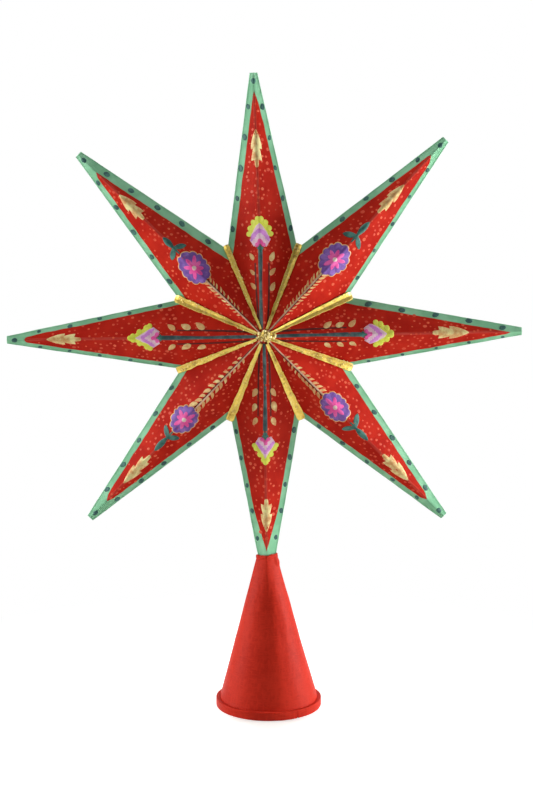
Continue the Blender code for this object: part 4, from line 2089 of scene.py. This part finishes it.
    def daisy(self, plan: Decoration) -> None:
        """Paints a round flower with its feathered gold stem and its sprig.

        Args:
            plan: Where the ray's motifs stand.
        """
        order = (Paint.GOLD, Paint.PURPLE, Paint.HOT_PINK, Paint.CREAM)
        self.motif("daisy", plan.daisy, Slot.PURPLE_PAINT, *order)
        self.motif("sprig", plan.sprig, Slot.TEAL_PAINT, Paint.SPRIG_TEAL)
        sketch = Sketch()
        first, last = plan.stem
        gold = straight((5.0, 0.3), (last + 1.0, 0.6), 90)
        shadow = straight((7.0, -0.5), (last + 1.0, -0.9), 90)
        sketch.stroke(gold, lambda share: 0.55 + 0.35 * share, 0, 0.00007)
        sketch.stroke(shadow, lambda share: 0.4 + 0.2 * share, 1, 0.00004)
        self.lay("stem", sketch, Slot.GOLD_PAINT, Paint.ROSE_GOLD, Paint.MAROON)
        size, spacing, half = plan.leaflet
        count = round((last - first) / spacing)
        for side, word in ((1, "left"), (-1, "right")):
            leaf = Sketch()
            path = straight((-2.4, -side * 1.5), (3.0, side * 2.1), 12, side * 0.4)
            leaf.stroke(path, petal(half, 0.36, 0.9), 0, 0.00009)
            ends = (first + 2.0, side * 2.0), (last - 2.0, side * (1.4 + 1.5 * size))
            self.row(
                f"leaflets_{word}", leaf, Paint.GOLD, Slot.GOLD_PAINT, ends,
                count=count, jitter=0.00022, turn=0.3, first_scale=0.72 * size, last_scale=1.2 * size,
                seed=7 * self.index + side,
            )

    def paint(self) -> None:
        """Paints the board."""
        self.ground_dots()
        self.border_dots()
        if self.face is Face.BACK:
            return
        plan = DECORATIONS[self.index]
        if plan.bud:
            self.bud(plan)
        if plan.daisy:
            self.daisy(plan)
        self.motif("feather", plan.feather, Slot.GOLD_PAINT, Paint.GOLD)


# The gilt ribbons and bosses

@dataclass
class GiltRibbon:
    """The crinkled strip in one valley, on both faces and round the notch."""

    form: StarForm
    index: int
    widths: tuple[float, ...] = (0.95, 0.74, 0.64, 0.88, 0.74, 0.86, 0.88, 0.86)
    glitters: tuple[float, ...] = (0.10, 0.2, 0.7, 0.4, 0.45, 0.1, 0.15, 0.9)
    rows: int = 200
    columns: int = 13
    start: float = 0.0040
    end: float = 0.0492
    start_half: float = 0.0009
    end_half: float = 0.0025
    thickness: float = 0.0005
    gap: float = 0.0003
    fill: float = 0.5
    crinkle: float = 0.00026
    edge_lift: float = 0.00014
    waver: float = 0.00030
    cut_scale: float = 260.0
    fine_scale: float = 900.0
    fold_scale: float = 330.0
    crease_scale: float = 380.0
    sink: float = 0.0001
    below_middle: float = 0.00005

    def past_notch(self, along: float) -> float:
        """The share of the way from the notch to the strip's end, or 0 before the notch."""
        return max(0.0, (along - self.form.notch_radius) / (self.end - self.form.notch_radius))

    def half_width(self, along: float, side: int, seed: float) -> float:
        """Half the strip's width at a distance along the valley, with its uneven cut and its round end.

        Args:
            along: Distance out along the valley.
            side: 1 for one edge, -1 for the other.
            seed: Sets this strip's cut apart from the others'.

        Returns:
            The width from the middle to that edge.
        """
        share = (along - self.start) / (self.end - self.start)
        half = self.widths[self.index] * (self.start_half + (self.end_half - self.start_half) * share)
        past = self.past_notch(along)
        uneven = self.waver * wobble((along, 0.01 * side), self.cut_scale, seed + side)
        uneven += 0.5 * self.waver * wobble((along, 0.01 * side), self.fine_scale, seed + side)
        return (half + uneven * min(1.0, share * 6)) * math.sqrt(max(0.0, 1 - 0.55 * past**3))

    def surface(self, along: float, across: float, face: Face, half: float) -> Flat:
        """Heights of the boards and of the strip's smooth top.

        Args:
            along: Distance out along the valley.
            across: Distance to its side.
            face: The star's side.
            half: Half the strip's width there.

        Returns:
            The boards' height and the top's.
        """
        form, turn = self.form, self.form.step / 2
        after = (self.index + 1) % len(form.rays)
        left, right = (after, self.index) if face is Face.FRONT else (self.index, after)

        def board(off: float) -> float:
            """The height of the board under the strip.

            Args:
                off: Distance to the valley's side.

            Returns:
                The height.
            """
            neighbour, side = (left, -1) if off > 0 else (right, 1)
            out = along * math.cos(turn) + abs(off) * math.sin(turn)
            inward = along * math.sin(turn) - abs(off) * math.cos(turn)
            return form.facet_height(neighbour, side, out, side * inward, face)

        middle = board(0.0)
        edges = (board(half) + board(-half)) / 2
        share = abs(across) / half
        edge_top = board(half if across > 0 else -half) + self.thickness + self.gap
        middle_top = middle + self.gap + self.thickness + self.fill * (edges - middle)
        return board(across), middle_top + (edge_top - middle_top) * share

    def half_solid(
        self, face: Face, verts: list[Vector], faces: list[tuple[int, ...]], raised: list[float]
    ) -> None:
        """Adds the strip's closed half on one face.

        Args:
            face: The star's side.
            verts: Takes the points.
            faces: Takes the faces.
            raised: Takes each point's number for how far it stands out, which sets the gilt's painted shade and
                highlight.
        """
        form, start = self.form, len(verts)
        turn = self.index * form.step + form.step / 2
        place = form.matrix(turn, face)
        seed = self.index * 2.0 + (0.5 if face is Face.FRONT else 0.0)
        under = []
        for i in range(self.rows):
            along = self.start + (self.end - self.start) * i / (self.rows - 1)
            fall = math.sqrt(max(0.0, 1 - self.past_notch(along) ** 2.6))
            for j in range(self.columns):
                across_share = 2 * j / (self.columns - 1) - 1
                half = self.half_width(along, 1 if across_share > 0 else -1, self.index)
                across = half * across_share
                board, top = self.surface(along, across, face, half)
                fold = wobble((0.5 * along, across), self.fold_scale, seed)
                fine = wobble((along, across), self.fine_scale, seed + 5)
                sharp = 0.5 - 2.0 * abs(wobble((0.45 * along, across), self.crease_scale, seed + 9))
                crest = 0.55 * fold + 0.18 * fine + 0.5 * sharp
                edge = max(0.0, (abs(across_share) - 0.55) / 0.45)
                calm = min(1.0, i / 6) * fall
                high = top + calm * (self.crinkle * crest + self.edge_lift * (edge - 0.25 * edge**6))
                verts.append(place @ Vector((along, across, max(high * fall, 0.00001))))
                # Higher at the crests and edges: the gilt paints low points with a painted shade and high ones
                # with a painted highlight.
                raised.append(0.34 + 0.40 * crest + 0.30 * edge)
                low = max(min(board, high) - self.sink, -self.below_middle)
                under.append(place @ Vector((along, across, low)))
        verts += under
        raised += [0.0] * len(under)
        around = grid_edge(self.rows, self.columns, start)
        faces += grid_faces(self.rows, self.columns, start)
        faces += grid_faces(self.rows, self.columns, start + len(under), flip=True)
        faces += rim_faces(around, [k + len(under) for k in around])

    def build(self, gilt: bpy.types.Material) -> None:
        """Makes the strip and its bright crumbs.

        Args:
            gilt: The gilt finish.
        """
        verts, faces, raised = [], [], []
        for face in Face:
            self.half_solid(face, verts, faces, raised)
        number = self.index + 1
        obj = Piece.mesh(f"gilt_ribbon_{number}", verts, faces)
        Piece.attribute(obj, "raised", raised)
        glitter = self.glitters[self.index]
        Piece.attribute(obj, "glitter", [glitter * min(1.0, max(0.0, value)) for value in raised])
        Piece.turn_out(obj)
        grains(f"ribbon_grains_{number}", obj, gilt, 31 + self.index)
        Piece.finish(obj, Slot.GOLD_LEAF, [gilt], f"seam_ribbon_{number}")


def grains(name: str, host: bpy.types.Object, gilt: bpy.types.Material, seed: int, **inputs: float) -> None:
    """Scatters bright crumbs over a gilt piece, as a piece of their own.

    Args:
        name: The crumbs' name.
        host: The gilt piece.
        gilt: The gilt finish.
        seed: Sets this scatter apart from the others.
        inputs: The tree's other inputs.
    """
    obj = Piece.mesh(name, [], [])
    obj.data = host.data.copy()
    GiltGrains.run(obj, [gilt], seed=seed, **inputs)
    Piece.finish(obj, Slot.GOLD_LEAF, ())


@dataclass
class GiltBoss:
    """The lump of gilt paste where the ridges and ribbons meet."""

    form: StarForm
    face: Face
    half_length: float = 0.0044
    half_width: float = 0.0027
    shift: float = 0.0009
    rise: float = 0.0011
    thick: float = 0.0029
    lump: float = 0.00060
    lump_scales: Point = (2.1, 5.5, 2.7)

    def build(self, gilt: bpy.types.Material) -> None:
        """Makes the lump and its bright crumbs.

        Args:
            gilt: The gilt finish.
        """
        bm = bmesh.new()
        bmesh.ops.create_icosphere(bm, subdivisions=5, radius=1.0)
        place = self.form.matrix(0.0, self.face)
        seed = 3.0 if self.face is Face.FRONT else 8.0
        raised = []
        for vertex in bm.verts:
            unit = vertex.co.copy()
            coarse, fine, cleft = (wobble(unit, scale, seed + k) for k, scale in enumerate(self.lump_scales))
            crest = 0.9 * coarse + 0.45 * fine + 0.8 * min(0.25, abs(cleft)) / 0.25 - 0.5
            lumped = self.lump * crest
            x = self.face.value * self.shift + unit.x * (self.half_length + lumped)
            y = unit.y * (self.half_width + lumped)
            z = self.form.rise + self.rise - self.thick + unit.z * (self.thick + 0.8 * lumped)
            vertex.co = place @ Vector((x, y, z))
            # The gilt paints the low places of the lump with a painted shade and its crests with a painted
            # highlight.
            raised.append(0.5 * crest - 0.1)
        mesh = bpy.data.meshes.new("boss")
        bm.to_mesh(mesh)
        bm.free()
        mesh.shade_smooth()
        obj = bpy.data.objects.new(f"gilt_boss_{self.face.word}", mesh)
        Piece.collection().objects.link(obj)
        Piece.attribute(obj, "raised", raised)
        Piece.attribute(obj, "glitter", [1.0] * len(raised))
        Piece.turn_out(obj)
        sizes = {"smallest": 0.00045, "largest": 0.00105, "least_gap": 0.0012}
        grains(f"boss_grains_{self.face.word}", obj, gilt, 61, **sizes)
        Piece.finish(obj, Slot.GOLD_LEAF, [gilt], f"gold_boss_{self.face.word}")


# The cone and its rim

@dataclass(frozen=True)
class ConeForm:
    """The cone's driving sizes and the outlines that follow from them."""

    star: StarForm
    mouth_height: float = 0.0812
    clearance: float = 0.0002
    mouth_wall: float = 0.0004
    foot_wall: float = 0.0012
    collar: float = 0.0024
    pinch: float = 0.034
    foot_half_width: float = 0.0268
    foot_half_depth: float = 0.0281
    gap: float = 0.0003

    def mouth(self) -> Point:
        """The mouth's middle X and its inner half width and half depth, which fit the bottom ray.

        Returns:
            The X, the half width and the half depth.
        """
        star, face = self.star, Face.FRONT
        reach, sway = star.reach(star.bottom), star.sway(star.bottom, face)
        along = (star.height - self.mouth_height) / math.cos(star.roll)
        toward_tip = (along - star.notch_along) / (reach - star.notch_along)
        half_width = star.notch_across + (star.tip_half_width - star.notch_across) * toward_tip
        half_depth = star.facet_height(star.bottom, 1, along, sway * along / reach, face)
        x = star.offset + along * math.sin(star.roll) + sway * toward_tip * math.cos(star.roll)
        loose = 1 + self.clearance / (half_width * half_depth / math.hypot(half_width, half_depth))
        return x, half_width * loose, half_depth * loose

    def outer_half_width(self, z: float) -> float:
        """Half the cone's outer width at a height near its foot.

        Args:
            z: The height.

        Returns:
            Half the width.
        """
        _, mouth_half, _ = self.mouth()
        down = (self.mouth_height - self.collar - z) / (self.mouth_height - self.collar)
        half = mouth_half * (1 - down) + (self.foot_half_width - self.foot_wall) * down
        return half + self.mouth_wall + (self.foot_wall - self.mouth_wall) * (1 - z / self.mouth_height)


@dataclass
class Cone:
    """The rolled paper cone, pinched round the bottom ray."""

    form: ConeForm

    def build(self, paper: bpy.types.Material) -> None:
        """Makes the cone.

        Args:
            paper: The red paper finish.
        """
        form = self.form
        mouth_x, half_width, half_depth = form.mouth()
        as_they_are = ("mouth_height", "mouth_wall", "foot_wall", "collar", "pinch")
        sizes = {name: getattr(form, name) for name in as_they_are} | {
            "mouth_x": mouth_x,
            "mouth_half_width": half_width,
            "mouth_half_depth": half_depth,
            "foot_half_width": form.foot_half_width - form.foot_wall,
            "foot_half_depth": form.foot_half_depth - form.foot_wall,
            "foot_gap": form.gap,
        }
        obj = Piece.mesh("rolled_cone", [], [])
        RolledCone.run(obj, [paper], **sizes)
        Piece.turn_out(obj)
        Piece.finish(obj, Slot.RED_PAPER, (), "cone_shell")


@dataclass
class Rim:
    """The hem round the cone's foot, with the butt joint of its ends."""

    form: ConeForm
    height: float = 0.0045
    wall: float = 0.0007
    corner: float = 0.00034
    joint_angle: float = math.radians(33.0 - 90.0)
    joint_gap: float = 0.0007
    steps: int = 360
    swell: float = 0.00012
    taller: float = 0.00022

    def profile(self) -> list[Flat]:
        """The band's outline as pairs: how far outside the cone's foot, and the height.

        Returns:
            The pairs, from inside over the top to the foot.
        """
        form, outer = self.form, self.form.gap + self.wall
        inner_top = form.outer_half_width(self.height) - form.foot_half_width + form.gap / 2
        outline = [(inner_top, self.height - 0.0001), (inner_top + 0.0002, self.height)]
        for centre, first in ((self.height - self.corner, 90), (self.corner, 0)):
            for k in range(7):
                angle = math.radians(first - 15 * k)
                out = outer - self.corner + self.corner * math.cos(angle)
                outline.append((out, centre + self.corner * math.sin(angle)))
        outline.append((form.gap / 2, 0.0))
        outline.append((form.gap / 2 - 0.0001, 0.0002))
        return outline

    def build(self, paper: bpy.types.Material) -> None:
        """Makes the band.

        Args:
            paper: The red paper finish.
        """
        form, profile = self.form, self.profile()
        half_gap = self.joint_gap / 2 / form.foot_half_width
        verts = []
        for i in range(self.steps + 1):
            angle = self.joint_angle + half_gap + (FULL_TURN - 2 * half_gap) * i / self.steps
            straight_turn = (math.cos(angle), math.sin(angle))
            swell = self.swell * wobble(straight_turn, 2.6, 4.0)
            taller = self.taller * (wobble(straight_turn, 2.0, 6.0) - 0.5)
            for outside, z in profile:
                closer = half_gap * 0.8 * z / self.height * ((i == self.steps) - (i == 0))
                turn = (math.cos(angle + closer), math.sin(angle + closer))
                out = outside + (swell if outside > form.gap else 0.0)
                x = (form.foot_half_width + out) * turn[0]
                y = (form.foot_half_depth + out) * turn[1]
                verts.append((x, y, z * (1 + taller / self.height)))
        columns = len(profile)
        faces = grid_faces(self.steps + 1, columns, wraps=True)
        faces.append(tuple(range(columns)))
        faces.append(tuple(range(self.steps * columns + columns - 1, self.steps * columns - 1, -1)))
        obj = Piece.mesh("hem_band", verts, faces)
        obj.data.set_sharp_from_angle(angle=math.radians(50))
        Piece.turn_out(obj)
        Piece.finish(obj, Slot.RED_PAPER, [paper], "rim_band")


# The studio

@dataclass
class Studio:
    """The camera, the lamps, the pale floor and the white surround."""

    camera_place: Point = (-0.0011, -0.8225, 0.2689)
    camera_pitch: float = math.radians(7.37)
    focal_pixels: float = 1600.0
    sensor: float = 36.0
    floor_half: float = 3.0
    fill: float = 0.02
    dark_side: float = 0.2
    clip: Flat = (0.01, 20.0)
    white: tuple[float, ...] = (1.0, 1.0, 1.0, 1.0)
    floor_colour: tuple[float, ...] = (0.84, 0.86, 0.82, 1.0)

    def camera(self) -> None:
        """Puts the camera where the photo was taken from."""
        data = bpy.data.cameras.new("photo_camera")
        data.sensor_fit = "AUTO"
        data.sensor_width = self.sensor
        data.lens = self.focal_pixels * self.sensor / PHOTO_HEIGHT
        data.clip_start, data.clip_end = self.clip
        camera = bpy.data.objects.new("photo_camera", data)
        bpy.context.scene.collection.objects.link(camera)
        camera.location = self.camera_place
        camera.rotation_euler = (math.pi / 2 - self.camera_pitch, 0, 0)
        bpy.context.scene.camera = camera

    def lamp(self, name: str, place: Point, size: Flat, power: float, target: Point = (0.0, 0.0, 0.17)) -> None:
        """One soft box.

        Args:
            name: The lamp's name.
            place: Its middle.
            size: Its width and height.
            power: In watts.
            target: The point that it faces.
        """
        data = bpy.data.lights.new(name, "AREA")
        data.shape = "RECTANGLE"
        data.size, data.size_y = size
        data.energy = power
        lamp = bpy.data.objects.new(name, data)
        bpy.context.scene.collection.objects.link(lamp)
        lamp.location = place
        lamp.rotation_euler = (Vector(target) - Vector(place)).to_track_quat("-Z", "Y").to_euler()

    def lamps(self) -> None:
        """A soft box at each side, one overhead, a weak one before the left and a low card at the right."""
        self.lamp("right_soft_box", (0.80, 0.06, 0.23), (0.35, 0.30), 6.7)
        self.lamp("left_soft_box", (-0.79, 0.06, 0.33), (0.35, 0.50), 5.35)
        self.lamp("top_soft_box", (0.0, -0.05, 0.95), (0.60, 0.60), 2.3)
        self.lamp("front_soft_box", (-0.65, -0.50, 0.35), (0.50, 0.40), 0.66)
        self.lamp("low_right_card", (0.30, -0.15, 0.015), (0.30, 0.30), 0.42, (0.0, 0.0, 0.25))

    def world(self) -> None:
        """A surround that the camera sees white, and mirrors see white behind and grey before."""
        world = bpy.data.worlds.new("studio_surround")
        bpy.context.scene.world = world
        world.use_nodes = True
        graph = Graph(world.node_tree)
        camera, glossy, through = graph.sights()
        toward = graph.take("ShaderNodeTexCoord", out="Generated")
        behind = graph.take("ShaderNodeSeparateXYZ", {"Vector": toward}, "Y")
        mirrored = glossy * graph.ramp(behind, -0.3, 0.2, self.dark_side, 1.0)
        white = graph.math("MAXIMUM", camera, through)
        shown = graph.math("MAXIMUM", graph.math("MAXIMUM", white, mirrored), self.fill)
        light = graph.take("ShaderNodeBackground", {"Color": self.white, "Strength": shown})
        graph.node("ShaderNodeOutputWorld", {"Surface": light})

    def floor(self) -> None:
        """A pale floor that glows plain white away from the object. Near it the floor keeps its real shadow,
        and a weaker glow, weakest just before the foot, adds a painted shadow.
        """
        size = self.floor_half
        verts = [(-size, -size, 0), (size, -size, 0), (size, size, 0), (-size, size, 0)]
        floor = Piece.mesh("studio_floor", verts, [(0, 1, 2, 3)], smooth=False)
        material = bpy.data.materials.new("pale_floor")
        material.use_nodes = True
        graph = Graph(material.node_tree)
        place = graph.place()
        camera, glossy, through = graph.sights()
        seen = graph.math("MAXIMUM", graph.math("MAXIMUM", camera, glossy), through)
        away = graph.ramp(graph.vector("LENGTH", place, out="Value"), 0.10, 0.24)
        # Near the foot the floor's glow is weaker, more so in front than at the sides, which paints a shadow
        # there.
        narrowed = graph.vector("MULTIPLY", place, (2.2, 1.0, 1.0))
        glow_with_painted_shadow = graph.ramp(graph.vector("LENGTH", narrowed, out="Value"), 0.029, 0.068, 0.28, 0.82)
        matt = graph.take("ShaderNodeBsdfDiffuse", {"Color": self.floor_colour})
        lift = graph.take("ShaderNodeEmission", {"Color": self.white, "Strength": glow_with_painted_shadow})
        near = graph.ordered("ShaderNodeAddShader", matt, lift)
        plain = graph.take("ShaderNodeEmission", {"Color": self.white, "Strength": 1.0})
        shown = graph.ordered("ShaderNodeMixShader", away, near, plain)
        mixed = graph.ordered("ShaderNodeMixShader", seen, matt, shown)
        graph.node("ShaderNodeOutputMaterial", {"Surface": mixed})
        floor.data.materials.append(material)

    def build(self) -> None:
        """Sets the whole studio."""
        self.camera()
        self.lamps()
        self.world()
        self.floor()
        bpy.context.scene.view_settings.view_transform = "Standard"


def clear_strays() -> None:
    """Removes what the program opens with, so that only the frame is left."""
    kept = set(frame["nodes"].values()) | set(frame["bodies"].values())
    for obj in [o for o in bpy.data.objects if o not in kept]:
        bpy.data.objects.remove(obj, do_unlink=True)


def main() -> None:
    """Builds the dressed topper and the studio."""
    logging.basicConfig(level=logging.INFO, format="%(name)s: %(message)s")
    clear_strays()
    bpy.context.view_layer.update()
    Studio().build()
    form = StarForm()
    board_paint = BoardFinish("painted_board").build()
    cone_paint = ConePaperFinish("red_cone_paper").build()
    gilt = GiltFinish("crinkled_gilt").build()
    paints = {finish.paint: finish.build() for finish in PAINTS}
    for index in range(len(form.rays)):
        for face in Face:
            board = BoardShell(form, index, face).build(board_paint)
            BoardPainter(form, index, face, board, paints).paint()
        GiltRibbon(form, index).build(gilt)
    for face in Face:
        GiltBoss(form, face).build(gilt)
    cone = ConeForm(form)
    Cone(cone).build(cone_paint)
    Rim(cone).build(cone_paint)


if __name__ == "__main__":
    main()
